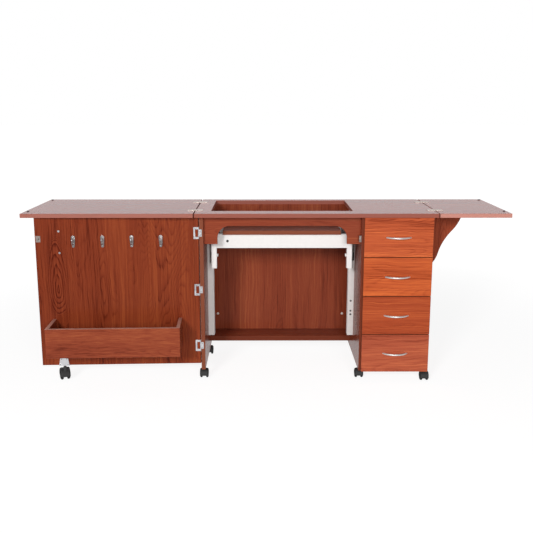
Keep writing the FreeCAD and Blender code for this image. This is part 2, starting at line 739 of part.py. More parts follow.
def make_hinges():
    """The leaf hinges, the door hinges and the swing bracket's hinges."""
    fixed_leaves = []
    seams = {
        "left": ("-seam_gap / 2", FreeCAD.Rotation(X_AXIS, 90)),
        "right": ("main_top_length + seam_gap / 2",
                  FreeCAD.Rotation(Z_AXIS, 180) * FreeCAD.Rotation(X_AXIS, 90)),
    }
    for side, (x, turn) in seams.items():
        moving_leaves = []
        for end in ("front", "rear"):
            place = (x, f"leaf_hinge_{end}", "top_height + flap_axis")
            fixed, moving = flap_hinge(f"{side}_{end}_leaf_hinge", FLAP_HINGE)
            fixed_leaves.append(move(fixed, *place, turn=turn))
            moving_leaves.append(move(moving, *place, turn=turn))
        cabinet_node(f"{side}_leaf_hinges", *moving_leaves)
    wings = []
    flipped = FreeCAD.Rotation(X_AXIS, 180)
    for level, height in DOOR_HINGE_LEVELS.items():
        fixed, moving = door_hinge(f"door_hinge_{level}")
        fixed_leaves.append(move(fixed, PIN_X, PIN_Y, height, flipped))
        wings.append(move(moving, z=height, turn=flipped))
    door_node("door_hinge_frames", *wings)
    wings = []
    pin = (f"{RIGHT_OUTER} + bracket_hinge_axis",
           "bracket_setback + bracket_thickness + bracket_hinge_axis")
    against_panel = FreeCAD.Rotation(FreeCAD.Vector(1, 1, 0), 180)
    against_bracket = FreeCAD.Rotation(Y_AXIS, 180)
    bracket_levels = {
        "low": f"{BRACKET_TOP} - bracket_height + bracket_hinge_rise",
        "high": f"{BRACKET_TOP} - bracket_hinge_drop",
    }
    for level, height in bracket_levels.items():
        fixed, moving = flap_hinge(f"bracket_hinge_{level}", BRACKET_HINGE)
        fixed_leaves.append(move(fixed, *pin, height, against_panel))
        wings.append(move(moving, *pin, height, against_bracket))
    cabinet_node("bracket_hinge_wings", *wings)
    cabinet_node("cabinet_hinge_plates", *fixed_leaves)


def make_swing_bracket():
    """The swing bracket: a convex shoulder, a concave sweep and a convex toe that run into each other."""
    left = f"{RIGHT_OUTER} + bracket_gap"
    depth = ("bracket_setback", "bracket_setback + bracket_thickness")
    shoulder_x = f"{left} + bracket_reach - bracket_shoulder_radius * cos(bracket_lean)"
    shoulder_z = f"{BRACKET_TOP} + bracket_shoulder_radius * sin(bracket_lean)"
    upper_x = f"{shoulder_x} + bracket_shoulder_radius * cos(bracket_turn)"
    upper_z = f"{shoulder_z} - bracket_shoulder_radius * sin(bracket_turn)"
    sweep_x = f"{upper_x} + bracket_sweep_radius * cos(bracket_turn)"
    sweep_z = f"{upper_z} - bracket_sweep_radius * sin(bracket_turn)"
    lower_x = f"{sweep_x} - bracket_sweep_radius * cos(bracket_toe_turn)"
    lower_z = f"{sweep_z} + bracket_sweep_radius * sin(bracket_toe_turn)"
    toe_x = f"{lower_x} - bracket_toe_radius * cos(bracket_toe_turn)"
    toe_z = f"{lower_z} + bracket_toe_radius * sin(bracket_toe_turn)"
    right = f"{left} + bracket_reach"
    layers = {
        "shoulder": (right, upper_z, BRACKET_TOP, shoulder_x, shoulder_z),
        "sweep": (upper_x, lower_z, upper_z, sweep_x, sweep_z),
        "toe": (lower_x, f"{BRACKET_TOP} - bracket_height", lower_z, toe_x, toe_z),
    }
    pieces = []
    for name, (edge, low, high, x, z) in layers.items():
        layer = block(f"bracket_{name}_layer", (left, edge), depth, (low, high))
        disc = rod(f"bracket_{name}_disc", "y", f"bracket_{name}_radius", "bracket_thickness",
                   x, "bracket_setback", z)
        if name == "sweep":
            pieces.append(cut("bracket_sweep", layer, [disc]))
            continue
        inside = doc.addObject("Part::Common", f"bracket_{name}")
        inside.Base = layer
        inside.Tool = disc
        pieces.append(inside)
    cabinet_node("leaf_bracket", fuse("bracket_outline", pieces))


def make_columns():
    """Two lift columns, open channels with a slot to the knee hole, and their gas springs."""
    back = "column_setback + column_depth"
    slot_middle = "column_setback + column_depth / 2"
    columns = []
    springs = []
    rods = []
    for side, x in (("left", LEFT_INNER), ("right", f"{MIDDLE_LEFT} - column_width")):
        far = f"{x} + column_width"
        heights = ("column_bottom", COLUMN_TOP)
        tube = block(f"{side}_column_tube", (x, far), ("column_setback", back), heights)
        inside = block(f"{side}_column_inside", (f"{x} + column_wall", f"{far} - column_wall"),
                       ("column_setback + column_wall", f"{back} - column_wall"),
                       ("column_bottom + column_wall", COLUMN_TOP))
        slot_x = (f"{far} - column_wall", far) if side == "left" else (x, f"{x} + column_wall")
        slot = block(f"{side}_column_slot", slot_x,
                     (f"{slot_middle} - column_slot / 2", f"{slot_middle} + column_slot / 2"),
                     ("column_bottom + column_wall", COLUMN_TOP))
        centre = f"{x} + column_width / 2"
        window_top = f"{COLUMN_TOP} - column_window_drop"
        window = block(f"{side}_column_window",
                       (f"{centre} - column_window_width / 2", f"{centre} + column_window_width / 2"),
                       ("column_setback", "column_setback + column_wall"),
                       (f"{window_top} - column_window_height", window_top))
        openings = [inside, slot, window]
        if side == "right":
            for rise in ("0", "column_hole_pair", "column_hole_rise"):
                openings.append(rod(f"{side}_column_hole_{len(openings)}", "y", "column_hole_radius",
                                    "column_wall", centre, "column_setback", f"column_hole_height + {rise}"))
        columns.append(cut(f"{side}_column", tube, openings))
        spring_low = "column_bottom + column_wall"
        case = rod(f"{side}_spring_case", "z", "spring_radius", "spring_length",
                   centre, slot_middle, spring_low)
        bore = rod(f"{side}_spring_bore", "z", "rod_radius + fit_clearance", "spring_length - spring_floor",
                   centre, slot_middle, f"{spring_low} + spring_floor")
        springs.append(cut(f"{side}_spring", case, [bore]))
        rod_length = f"{SLIDER_TOP} - slider_height - rod_bottom"
        rods.append(rod(f"{side}_spring_rod", "z", "rod_radius", rod_length,
                        centre, slot_middle, "rod_bottom"))
    cabinet_node("lift_columns", *columns)
    cabinet_node("gas_spring_cylinders", *springs)
    cabinet_node("gas_spring_rods", *rods)


def make_carriages():
    """Two lift carriages: a steel leg and side bar, and two sliders that run in the column."""
    carriages = []
    for side in ("left", "right"):
        carriages.append(make_carriage(side))
    cabinet_node("lift_carriages", *carriages)


def span_from(wall, sign, near, far):
    """The pair of places at two distances from a wall, low one first."""
    first = f"{wall} {sign} ({near})"
    last = f"{wall} {sign} ({far})"
    return (first, last) if sign == "+" else (last, first)


def make_carriage(side):
    """One carriage, measured from the panel that its column stands against."""
    wall, sign = (LEFT_INNER, "+") if side == "left" else (MIDDLE_LEFT, "-")
    slot_middle = "column_setback + column_depth / 2"
    outer = "column_width + carriage_gap"
    inner = f"{outer} + carriage_width"
    plate_x = span_from(wall, sign, f"{inner} - carriage_steel", inner)
    leg_low = f"{BEAM_LOW} - carriage_leg_height"
    front = "carriage_setback"
    pieces = [
        block(f"{side}_side_bar", plate_x, (front, f"{front} + carriage_length"), (BEAM_LOW, BEAM_TOP)),
        block(f"{side}_leg", plate_x, (front, f"{front} + carriage_leg_depth"),
              (leg_low, BEAM_LOW)),
        block(f"{side}_front_flange", span_from(wall, sign, outer, inner),
              (front, f"{front} + carriage_steel"), (leg_low, BEAM_TOP)),
    ]
    slider_x = span_from(wall, sign, "column_wall + slider_gap", "column_width - column_wall - slider_gap")
    neck_x = span_from(wall, sign, "column_width - column_wall - slider_gap", inner)
    slider_y = ("column_setback + column_wall + slider_gap",
                "column_setback + column_depth - column_wall - slider_gap")
    neck_y = (f"{slot_middle} - carriage_neck / 2", f"{slot_middle} + carriage_neck / 2")
    lower_top = f"{SLIDER_TOP} - slider_spacing"
    levels = {
        "upper": (f"{SLIDER_TOP} - slider_height", SLIDER_TOP),
        "lower": (f"{lower_top} - slider_height", lower_top),
    }
    for level, heights in levels.items():
        slider = block(f"{side}_{level}_slider", slider_x, slider_y, heights)
        if level == "lower":
            passage = rod(f"{side}_spring_passage", "z", "spring_radius + slider_gap", "slider_height",
                          f"{wall} {sign} column_width / 2", slot_middle, heights[0])
            slider = cut(f"{side}_bored_slider", slider, [passage])
        pieces.append(slider)
        pieces.append(block(f"{side}_{level}_neck", neck_x, neck_y, heights))
    head_x = f"{wall} + {inner}" if side == "left" else f"{wall} - ({inner}) - bolt_head"
    pieces.append(rod(f"{side}_bolt_head", "x", "bolt_radius", "bolt_head",
                      head_x, f"{front} + bolt_inset", f"{BEAM_LOW} - bolt_drop"))
    return fuse(f"{side}_carriage", pieces)


def make_platform():
    """The lift's platform board and the two angle beams that carry it."""
    inset = "column_width + carriage_gap + carriage_width"
    beam_x = (f"{LEFT_INNER} + {inset}", f"{MIDDLE_LEFT} - ({inset})")
    platform_x = (f"{beam_x[0]} + platform_side_gap", f"{beam_x[1]} - platform_side_gap")
    platform_y = ("platform_setback", "platform_setback + platform_depth")
    platform = board("platform_board", platform_x, platform_y, (BEAM_TOP, PLATFORM_TOP))
    cabinet_node("lift_platform", platform)
    front = "carriage_setback"
    rear = f"{front} + carriage_length"
    faces = {
        "front": ((front, f"{front} + carriage_steel"), (front, f"{front} + beam_flange")),
        "rear": ((f"{rear} - carriage_steel", rear), (f"{rear} - beam_flange", rear)),
    }
    beams = []
    for end, (web_y, flange_y) in faces.items():
        web = block(f"{end}_beam_web", beam_x, web_y, (BEAM_LOW, BEAM_TOP))
        lower = block(f"{end}_beam_lower_flange", beam_x, flange_y,
                      (BEAM_LOW, f"{BEAM_LOW} + carriage_steel"))
        upper = block(f"{end}_beam_upper_flange", beam_x, flange_y,
                      (f"{BEAM_TOP} - carriage_steel", BEAM_TOP))
        hole = rod(f"{end}_beam_hole", "y", "beam_hole_radius", "carriage_steel",
                   f"{beam_x[0]} + beam_hole_inset", web_y[0], f"{BEAM_LOW} + beam_height / 2")
        beams.append(cut(f"{end}_beam", fuse(f"{end}_beam_profile", [web, lower, upper]), [hole]))
    cabinet_node("lift_beams", *beams)


CABINET_CASTER = {
    "wheel": "wheel_radius",
    "width": "wheel_width",
    "web": "caster_web",
    "trail": "caster_trail",
    "seat": "caster_height",
}
DOOR_CASTER = {
    "wheel": "door_wheel_radius",
    "width": "door_wheel_width",
    "web": "door_caster_web",
    "trail": "door_caster_trail",
    "seat": "(door_bottom - foot_steel)",
}


def make_caster(name, size):
    """A twin-wheel caster on the floor, with its swivel axis on local Z and its trail towards -Y."""
    axle = (f"-{size['trail']}", size["wheel"])
    web_half = f"{size['web']} / 2"
    wheel_near = f"{web_half} + wheel_gap"
    wheel_far = f"{wheel_near} + {size['width']}"
    inner = f"{size['wheel']} + hood_gap"
    outer = f"{inner} + hood_wall"
    hood_half = f"{wheel_far} + wheel_gap"
    hood = rod(f"{name}_hood_disc", "x", outer, f"2 * ({hood_half})", f"-({hood_half})", *axle)
    below = block(f"{name}_below", (f"-({hood_half})", hood_half), (f"-{size['trail']} - ({outer})", outer),
                  (f"{size['wheel']} - ({outer})", size["wheel"]))
    rooms = [below]
    for side, start in (("left", f"-({hood_half})"), ("right", web_half)):
        rooms.append(rod(f"{name}_{side}_room", "x", inner, f"{hood_half} - {web_half}", start, *axle))
    shell = cut(f"{name}_shell", hood, rooms)
    web = rod(f"{name}_web", "x", "axle_radius + hood_wall", size["web"], f"-{web_half}", *axle)
    collar = rod(f"{name}_collar", "z", "collar_radius", "collar_height",
                 z=f"{size['seat']} - running_gap - collar_height")
    stem = rod(f"{name}_stem", "z", "stem_radius", f"{size['seat']} - {size['wheel']} + stem_length",
               z=size["wheel"])
    bore = rod(f"{name}_axle_bore", "x", "axle_radius + fit_clearance", size["web"], f"-{web_half}", *axle)
    housing = cut(f"{name}_housing_body", fuse(f"{name}_housing_whole", [shell, web, collar, stem]), [bore])
    wheels = [rod(f"{name}_axle", "x", "axle_radius", f"2 * ({wheel_far})", f"-({wheel_far})", *axle)]
    for side, start in (("left", f"-({wheel_far})"), ("right", wheel_near)):
        wheels.append(rod(f"{name}_{side}_wheel", "x", size["wheel"], size["width"], start, *axle))
    return housing, fuse(f"{name}_wheel_pair", wheels)


def make_casters():
    """Five casters under the panels and a larger one under the door's free end."""
    panel_middle = "panel_thickness / 2"
    places = {
        "left_front": (f"left_overhang + {panel_middle}", "knee_caster_setback"),
        "left_rear": (f"left_overhang + {panel_middle}", "rear_caster_setback"),
        "middle_front": (f"{MIDDLE_LEFT} + {panel_middle}", "knee_caster_setback"),
        "right_front": (f"{RIGHT_INNER} + {panel_middle}", "right_caster_setback"),
        "right_rear": (f"{RIGHT_INNER} + {panel_middle}", "rear_caster_setback"),
    }
    for name, place in places.items():
        housing, wheels = make_caster(name, CABINET_CASTER)
        node(f"{name}_caster_housing", [housing], *place)
        node(f"{name}_caster_wheels", [wheels], *place)
    housing, wheels = make_caster("door", DOOR_CASTER)
    swivel = ("-door_caster_distance", f"{DOOR_INNER} + front_thickness / 2")
    for label, piece in (("door_caster_housing", housing), ("door_caster_wheels", wheels)):
        move(piece, *swivel, turn=FreeCAD.Rotation(-Z_AXIS, 1))
        bind(piece, "Placement.Rotation.Angle", "180 - door_caster_turn")
        door_node(label, piece)
    door_node("door_caster_bracket", make_caster_bracket())


def make_caster_bracket():
    """A steel bracket on the door's inner face, with a foot under the door for the caster's stem."""
    wedge = doc.addObject("Part::Wedge", "caster_bracket_plate")
    places = {
        "Xmin": "-foot_width / 2", "Xmax": "foot_width / 2",
        "X2min": "-foot_top_width / 2", "X2max": "foot_top_width / 2",
        "Ymin": "0", "Ymax": "foot_height",
        "Zmin": "0", "Zmax": "foot_steel",
        "Z2min": "0", "Z2max": "foot_steel",
    }
    for prop, place in places.items():
        bind(wedge, prop, place)
    low = "door_bottom - foot_steel"
    move(wedge, "-door_caster_distance", DOOR_INNER, low, FreeCAD.Rotation(X_AXIS, 90))
    foot_x = ("-door_caster_distance - foot_width / 2", "-door_caster_distance + foot_width / 2")
    foot = block("caster_bracket_foot", foot_x, (f"{DOOR_INNER} - foot_steel", DOOR_OUTER),
                 (low, "door_bottom"))
    hole = rod("caster_bracket_hole", "z", "stem_radius + fit_clearance", "foot_steel",
               "-door_caster_distance", f"{DOOR_INNER} + front_thickness / 2", low)
    return cut("caster_bracket", fuse("caster_bracket_whole", [wedge, foot]), [hole])


def check_document():
    """Stop if any object failed, or if a sub-part has no sound shape."""
    for item in doc.Objects:
        if "Invalid" in item.State or "Error" in item.State:
            raise RuntimeError(f"{item.Name} failed to compute")
    for label, item in nodes.items():
        shape = item.Shape
        if shape.isNull() or not shape.isValid() or not shape.Solids:
            raise RuntimeError(f"{label} has no sound shape")


def write_parts():
    """Write each sub-part to its own file."""
    os.makedirs("parts", exist_ok=True)
    for label, item in nodes.items():
        item.Shape.exportStep(f"parts/{label}.step")
        print(f"{label}: {len(item.Shape.Solids)} solids, {item.Shape.Volume / 1000:.1f} cm3")


make_sheet()
make_tops()
make_bumpers()
make_side_panels()
make_fixed_boards()
make_apron()
make_drawers()
make_door()
make_pocket()
make_coat_hooks()
make_hinges()
make_swing_bracket()
make_columns()
make_carriages()
make_platform()
make_casters()
doc.recompute()
check_document()
write_parts()
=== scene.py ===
"""Looks of a folding sewing cutting table: laminate, fittings, casters, studio and camera."""
import json
import math

import bmesh
import bpy
from bmesh.types import BMEdge, BMVert
from bpy.props import FloatProperty, FloatVectorProperty, PointerProperty
from mathutils import Euler, Matrix, Vector


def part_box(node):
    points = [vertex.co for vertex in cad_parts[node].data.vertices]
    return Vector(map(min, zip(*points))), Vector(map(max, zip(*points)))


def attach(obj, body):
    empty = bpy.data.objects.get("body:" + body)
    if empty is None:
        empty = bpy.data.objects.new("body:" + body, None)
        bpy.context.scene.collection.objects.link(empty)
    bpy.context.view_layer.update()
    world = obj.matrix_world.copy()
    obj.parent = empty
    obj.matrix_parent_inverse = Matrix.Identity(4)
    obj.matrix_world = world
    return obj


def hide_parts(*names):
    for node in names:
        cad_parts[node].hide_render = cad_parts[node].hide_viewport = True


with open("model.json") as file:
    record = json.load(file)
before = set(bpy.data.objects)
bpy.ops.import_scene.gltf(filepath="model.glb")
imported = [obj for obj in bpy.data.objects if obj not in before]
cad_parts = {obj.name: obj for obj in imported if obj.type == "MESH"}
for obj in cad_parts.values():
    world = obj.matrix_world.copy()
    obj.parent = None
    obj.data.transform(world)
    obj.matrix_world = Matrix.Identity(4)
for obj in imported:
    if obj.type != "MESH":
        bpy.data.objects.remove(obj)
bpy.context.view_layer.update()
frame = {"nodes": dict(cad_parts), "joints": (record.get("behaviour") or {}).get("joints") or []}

bl_info = {
    "name": "Folding Sewing Cutting Table",
    "version": (1, 0, 0),
    "blender": (4, 5, 0),
    "location": "View3D > Sidebar > Sewing Table",
    "description": "Finishes, small fittings and studio of a folding sewing cutting table",
    "category": "Object",
}

JOINTS = {joint["name"]: joint for joint in frame["joints"]}
X_AXIS = Vector((1, 0, 0))
Y_AXIS = Vector((0, 1, 0))
Z_AXIS = Vector((0, 0, 1))
DOOR_TILT = -JOINTS["door_swing"]["range_deg"][0]
DOOR_PIN = Vector((*JOINTS["door_swing"]["pos_m"][:2], 0))
DOOR_FRAME = Matrix.Translation(DOOR_PIN) @ Matrix.Rotation(math.radians(DOOR_TILT), 4, "Z")
DOOR_DEPTH = (DOOR_FRAME.to_3x3() @ Y_AXIS).normalized()
DRAWERS = ("drawer_1", "drawer_2", "drawer_3", "drawer_4")
CASTERS = ("left_front", "left_rear", "middle_front", "right_front", "right_rear", "door")

# Laminate: each drawer's cast, partly its own tone and partly a painted pinkish haze of reflected light on
# the lowest drawer, the two ways of the grain, and the shift of the figure for each seed
DRAWER_TONES_AND_HAZE = ((1.10, 1.09, 1.03), (1.12, 1.08, 0.88), (0.88, 0.80, 0.76), (0.94, 1.04, 1.40))
GRAIN_UPRIGHT = (0.0, 0.0, 0.0)
GRAIN_LENGTHWISE = (0.0, -math.pi / 2, 0.0)
SEED_STEP = (0.37, 0.61, 1.7)
# The oval eye in the door's grain: place across and up the door, reach, fading edge, squeeze above and
# below its middle, rings and how much darker they are
EYE_PLACE = (-0.622, 0.420)
EYE_REACH = (0.048, 0.1, 0.165)
EYE_EDGE = (0.9, 1.5)
EYE_SQUEEZE = (0.70, 1.4)
EYE_RINGS = 5.0
EYE_DEPTH = 0.19
# Edge bands: where they start off a face, how far they cover the grain, and their added roughness
BAND_START = (0.0002, 0.0008)
BAND_COVER = 0.70
BAND_ROUGHNESS = 0.35

# Noises of the grain: cells per metre across and along it, detail and roughness
SWAY = (6.0, 1.3, 1.0)
RIPPLE = (24.0, 9.0, 2.0)
GRAIN_NOISES = {
    "growth": (9.0, 1.4, 1.0, 0.4),
    "wander": (60.0, 8.0, 2.0),
    "clear": (7.0, 0.9, 1.0),
    "streak": (300.0, 2.6, 3.0, 0.62),
    "fibre": (620.0, 7.0, 3.0),
    "band": (11.0, 0.6, 3.0),
    "ribbon": (70.0, 2.2, 2.0),
    "pore": (760.0, 30.0, 2.0),
}
# Reach of the sideways sway and ripple in metres, count of growth rings and how far they wander
SWAY_REACH = 0.05
RIPPLE_REACH = 0.016
RING_COUNT = 34.0
RING_WANDER = 0.8
# Places and darkness over one growth ring, the shade at its ends, and how much darker rings and pores are
RING_STOPS = ((0.12, 0.0), (0.50, 0.10), (0.78, 0.62), (0.88, 1.0))
RING_END = (0.10, 0.10, 0.10, 1)
RING_DEPTH = 0.40
PORE_DEPTH = 0.12
GRAIN_LIFT = 0.07
# Range of each noise that is used, and how far it lightens and darkens the tone
GRAIN_SHADES = {
    "streak": (0.32, 0.68, 0.16),
    "fibre": (0.30, 0.70, 0.13),
    "band": (0.28, 0.72, 0.17),
    "ribbon": (0.30, 0.70, 0.05),
}
DARK_GRAIN = (0.40, 0.27, 0.24, 1)
BRIGHT_GRAIN = (1.42, 1.75, 1.55, 1)
# Ranges: where rings show clear, where pores lie, how far light and shade go, and the sheen of the fibres
CLEAR_WOOD = (0.46, 0.66, 0.06, 1.0)
PORE_RANGE = (0.60, 0.74)
SHADE_RANGE = (-0.5, 0.0)
LIGHT_RANGE = (0.0, 0.5)
FIBRE_SHEEN = (0.2, 0.8, -0.03, 0.04)

# Meshes: distance of welding and angle up to which faces look smooth
WELD = 1e-6
SMOOTH_ANGLE = math.radians(35)
# A screw: finishes, dome in shares of radius and height, bars of its cross in the same shares, the height
# of a flush one and the radius of a small one; the dark cross is painted shade in place of a hollow recess
SCREW_FINISH = ("zinc", "recess")
SCREW_DOME = ((0, 1), (0.55, 0.92), (0.86, 0.60), (1, 0), (0, 0))
SCREW_CROSS = (0.60, 0.16)
CROSS_DEPTH = (0.80, 1.02)
CROSS_SOFT = 0.04
FLUSH_HEIGHT = 0.00014
SMALL_RADIUS = 0.0030

# Scuffs: cells per metre of the clouds, ranges of clouds and sheen, and half the step between two colours
CLOUD_CELLS = 70.0
CLOUD_RANGE = (0.3, 0.7, -1.0, 1.0)
SCUFF_SHEEN = (0.3, 0.7, -0.03, 0.05)
COLOUR_STEP = 0.0004
# The lift carriages: depth of their white front, and the dark brown behind it, which is painted shade
# standing in for the shadowed inside of the knee hole
CARRIAGE_FACE = 0.033
CARRIAGE_PAINTED_SHADE = (0.050, 0.017, 0.010)


def colour(name, description, default):
    """A colour setting."""
    return FloatVectorProperty(name=name, description=description, default=default, size=3, min=0, max=1,
                               subtype="COLOR")


def length(name, description, default):
    """A length setting in metres."""
    return FloatProperty(name=name, description=description, default=default, min=0, unit="LENGTH")


def share(name, description, default):
    """A setting between nothing and all."""
    return FloatProperty(name=name, description=description, default=default, min=0, max=1, subtype="FACTOR")


def power(name, description, default):
    """A lamp's power setting."""
    return FloatProperty(name=name, description=description, default=default, min=0, unit="POWER")


class LaminateSettings(bpy.types.PropertyGroup):
    """Tones of the cherry laminate."""

    door: colour("Door", "Cherry of the door panel", (0.224, 0.0370, 0.0130))
    carcass: colour("Carcass", "Cherry of the side panels and the back", (0.250, 0.049, 0.022))
    drawer: colour("Drawers", "Cherry of the drawer fronts", (0.465, 0.088, 0.0315))
    bracket: colour("Swing bracket", "Cherry of the swing bracket", (0.36, 0.072, 0.030))
    pocket: colour("Pocket and apron", "Cherry of the pocket and the apron", (0.272, 0.053, 0.0240))
    top: colour("Top", "Cherry of the top boards", (0.46, 0.074, 0.061))
    edge: colour("Edge band", "Cherry of the edge bands", (0.235, 0.076, 0.040))
    # Painted highlight: the right leaf's edge bands are paler where light catches them
    edge_highlight: colour("Pale edge band", "Cherry of the right leaf's edge bands", (0.58, 0.300, 0.235))
    # Painted shade: the edge bands inside the knee hole are darker for the shade that lies there
    shaded_edge: colour("Deep edge band", "Cherry of the edge bands inside the knee hole", (0.14, 0.030, 0.014))
    drawer_box: colour("Drawer boxes", "Laminate of the drawer boxes", (0.46, 0.30, 0.20))
    gloss: share("Roughness", "Roughness of the laminate", 0.24)
    panel_gloss: share("Panel roughness", "Roughness of the two panels at the knee hole", 0.27)
    side_gloss: share("Side roughness", "Roughness of the drawer column's outer side", 0.50)


class FittingSettings(bpy.types.PropertyGroup):
    """Metal and plastic of the fittings."""

    # Painted reflection: the nickel's dark coppery cast is partly its own colour and partly the warm
    # reflection of the cherry around it
    nickel: colour("Nickel", "Satin nickel of the handles", (0.080, 0.052, 0.039))
    hook: colour("Hook", "Polished steel of the coat hooks", (0.32, 0.29, 0.285))
    zinc: colour("Zinc", "Bright zinc of the hinges and runners", (0.60, 0.60, 0.62))
    flap: colour("Flap hinge", "Brassed steel of the hinges on the top", (0.50, 0.41, 0.37))
    powder: colour("Powder coat", "White powder coat of the lift", (0.86, 0.84, 0.82))
    pale: colour("Pale plastic", "Plastic of the cover caps", (0.80, 0.72, 0.67))
    catch: colour("Catch", "Plastic of the magnetic catch", (0.27, 0.22, 0.20))
    black: colour("Black plastic", "Plastic of the casters", (0.007, 0.007, 0.008))
    rubber: colour("Rubber", "Rubber of the bumpers", (0.030, 0.028, 0.028))
    hinge_screw: length("Hinge screw", "Radius of a hinge screw's head", 0.0032)
    bracket_screw: length("Bracket screw", "Radius of the caster bracket's screw heads", 0.0036)
    hook_rod: length("Hook rod", "Radius of a coat hook's rod", 0.0032)
    hook_ball: length("Hook ball", "Radius of the ball on a coat hook", 0.0048)
    hood_wall: length("Caster hood", "Thickness of a caster's hood", 0.0020)
    hood_gap: length("Caster hood gap", "Space between a caster's wheels and its hood", 0.0015)
    wheel_gap: length("Wheel gap", "Space between the two wheels of a caster", 0.0170)
    wheel_round: share("Wheel shoulder", "Rounding of a wheel's outer edge as a share of its radius", 0.30)
    wheel_bead: share("Wheel bead", "Rounding of a wheel's inner edge as a share of its radius", 0.18)


class StudioSettings(bpy.types.PropertyGroup):
    """Floor, light and camera."""

    floor: colour("Floor", "Colour of the floor", (0.86, 0.86, 0.86))
    sky: FloatProperty(name="Sky", description="Strength of the light from all round", default=0.21, min=0)
    key: power("Key", "Power of the large lamp at the front left", 362)
    fill: power("Fill", "Power of the lamp near the camera", 114)
    lens: FloatProperty(name="Lens", description="Focal length of the camera in millimetres", default=51.51,
                        min=1)
    camera: FloatVectorProperty(name="Camera", description="Place of the camera", size=3, unit="LENGTH",
                                default=(-0.00828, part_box("main_top")[0].y - 3.2524, 1.2316))
    turn: FloatVectorProperty(name="Camera turn", description="Turn of the camera", size=3, subtype="EULER",
                              default=(math.radians(77.933), 0.0, math.radians(-0.167)))


def feed(node, inputs):
    """A node with its inputs linked to sockets or set to values."""
    for key, value in inputs.items():
        value = value.socket if isinstance(value, Number) else value
        if isinstance(value, bpy.types.NodeSocket):
            node.id_data.links.new(value, node.inputs[key])
        else:
            node.inputs[key].default_value = value
    return node


def add_node(tree, kind, inputs=None, **settings):
    """A shader node with its settings and inputs."""
    made = tree.nodes.new(f"ShaderNode{kind}")
    for name, value in settings.items():
        setattr(made, name, value)
    return feed(made, inputs or {})


class Number:
    """A number at every point of a surface; arithmetic with it adds Math nodes to its tree."""

    def __init__(self, socket):
        self.socket = socket

    def calc(self, operation, other=0.0):
        """The result of a Math node."""
        made = add_node(self.socket.id_data, "Math", {0: self, 1: other}, operation=operation)
        return Number(made.outputs[0])

    def __add__(self, other):
        return self.calc("ADD", other)

    def __sub__(self, other):
        return self.calc("SUBTRACT", other)

    def __mul__(self, other):
        return self.calc("MULTIPLY", other)

    def remap(self, low, high, to_low=0.0, to_high=1.0):
        """The number carried smoothly from one range to another."""
        inputs = {"Value": self, "From Min": low, "From Max": high, "To Min": to_low, "To Max": to_high}
        made = add_node(self.socket.id_data, "MapRange", inputs, interpolation_type="SMOOTHSTEP")
        return Number(made.outputs[0])


def vector_calc(tree, operation, *operands):
    """The outputs of a Vector Math node."""
    return add_node(tree, "VectorMath", dict(enumerate(operands)), operation=operation).outputs


def mix(tree, factor, first, second, blend="MIX"):
    """Two colours mixed."""
    made = add_node(tree, "Mix", {0: factor, 6: first, 7: second}, data_type="RGBA", blend_type=blend)
    return made.outputs[2]


def mix_numbers(tree, factor, first, second):
    """Two numbers mixed."""
    return Number(add_node(tree, "Mix", {0: factor, 2: first, 3: second}, data_type="FLOAT").outputs[0])


def stretched_noise(tree, vector, across, along_grain, detail=2.0, roughness=0.5):
    """Noise whose cells are drawn out along the grain; the scales are in cells per metre."""
    stretched = vector_calc(tree, "MULTIPLY", vector, (across, across, along_grain))[0]
    inputs = {"Vector": stretched, "Scale": 1.0, "Detail": detail, "Roughness": roughness}
    return Number(add_node(tree, "TexNoise", inputs).outputs[0])


def new_group(name, inputs, outputs):
    """An empty shader node group whose sockets have names and types, what it is given and its end."""
    tree = bpy.data.node_groups.new(name, "ShaderNodeTree")
    for way, sockets in (("INPUT", inputs), ("OUTPUT", outputs)):
        for label, kind in sockets.items():
            tree.interface.new_socket(label, in_out=way, socket_type=f"NodeSocket{kind}")
    return tree, tree.nodes.new("NodeGroupInput").outputs, tree.nodes.new("NodeGroupOutput")


def add_group(tree, name, maker, inputs):
    """The outputs of a shared node group, which is built the first time it is asked for."""
    return add_node(tree, "Group", inputs, node_tree=bpy.data.node_groups.get(name) or maker()).outputs


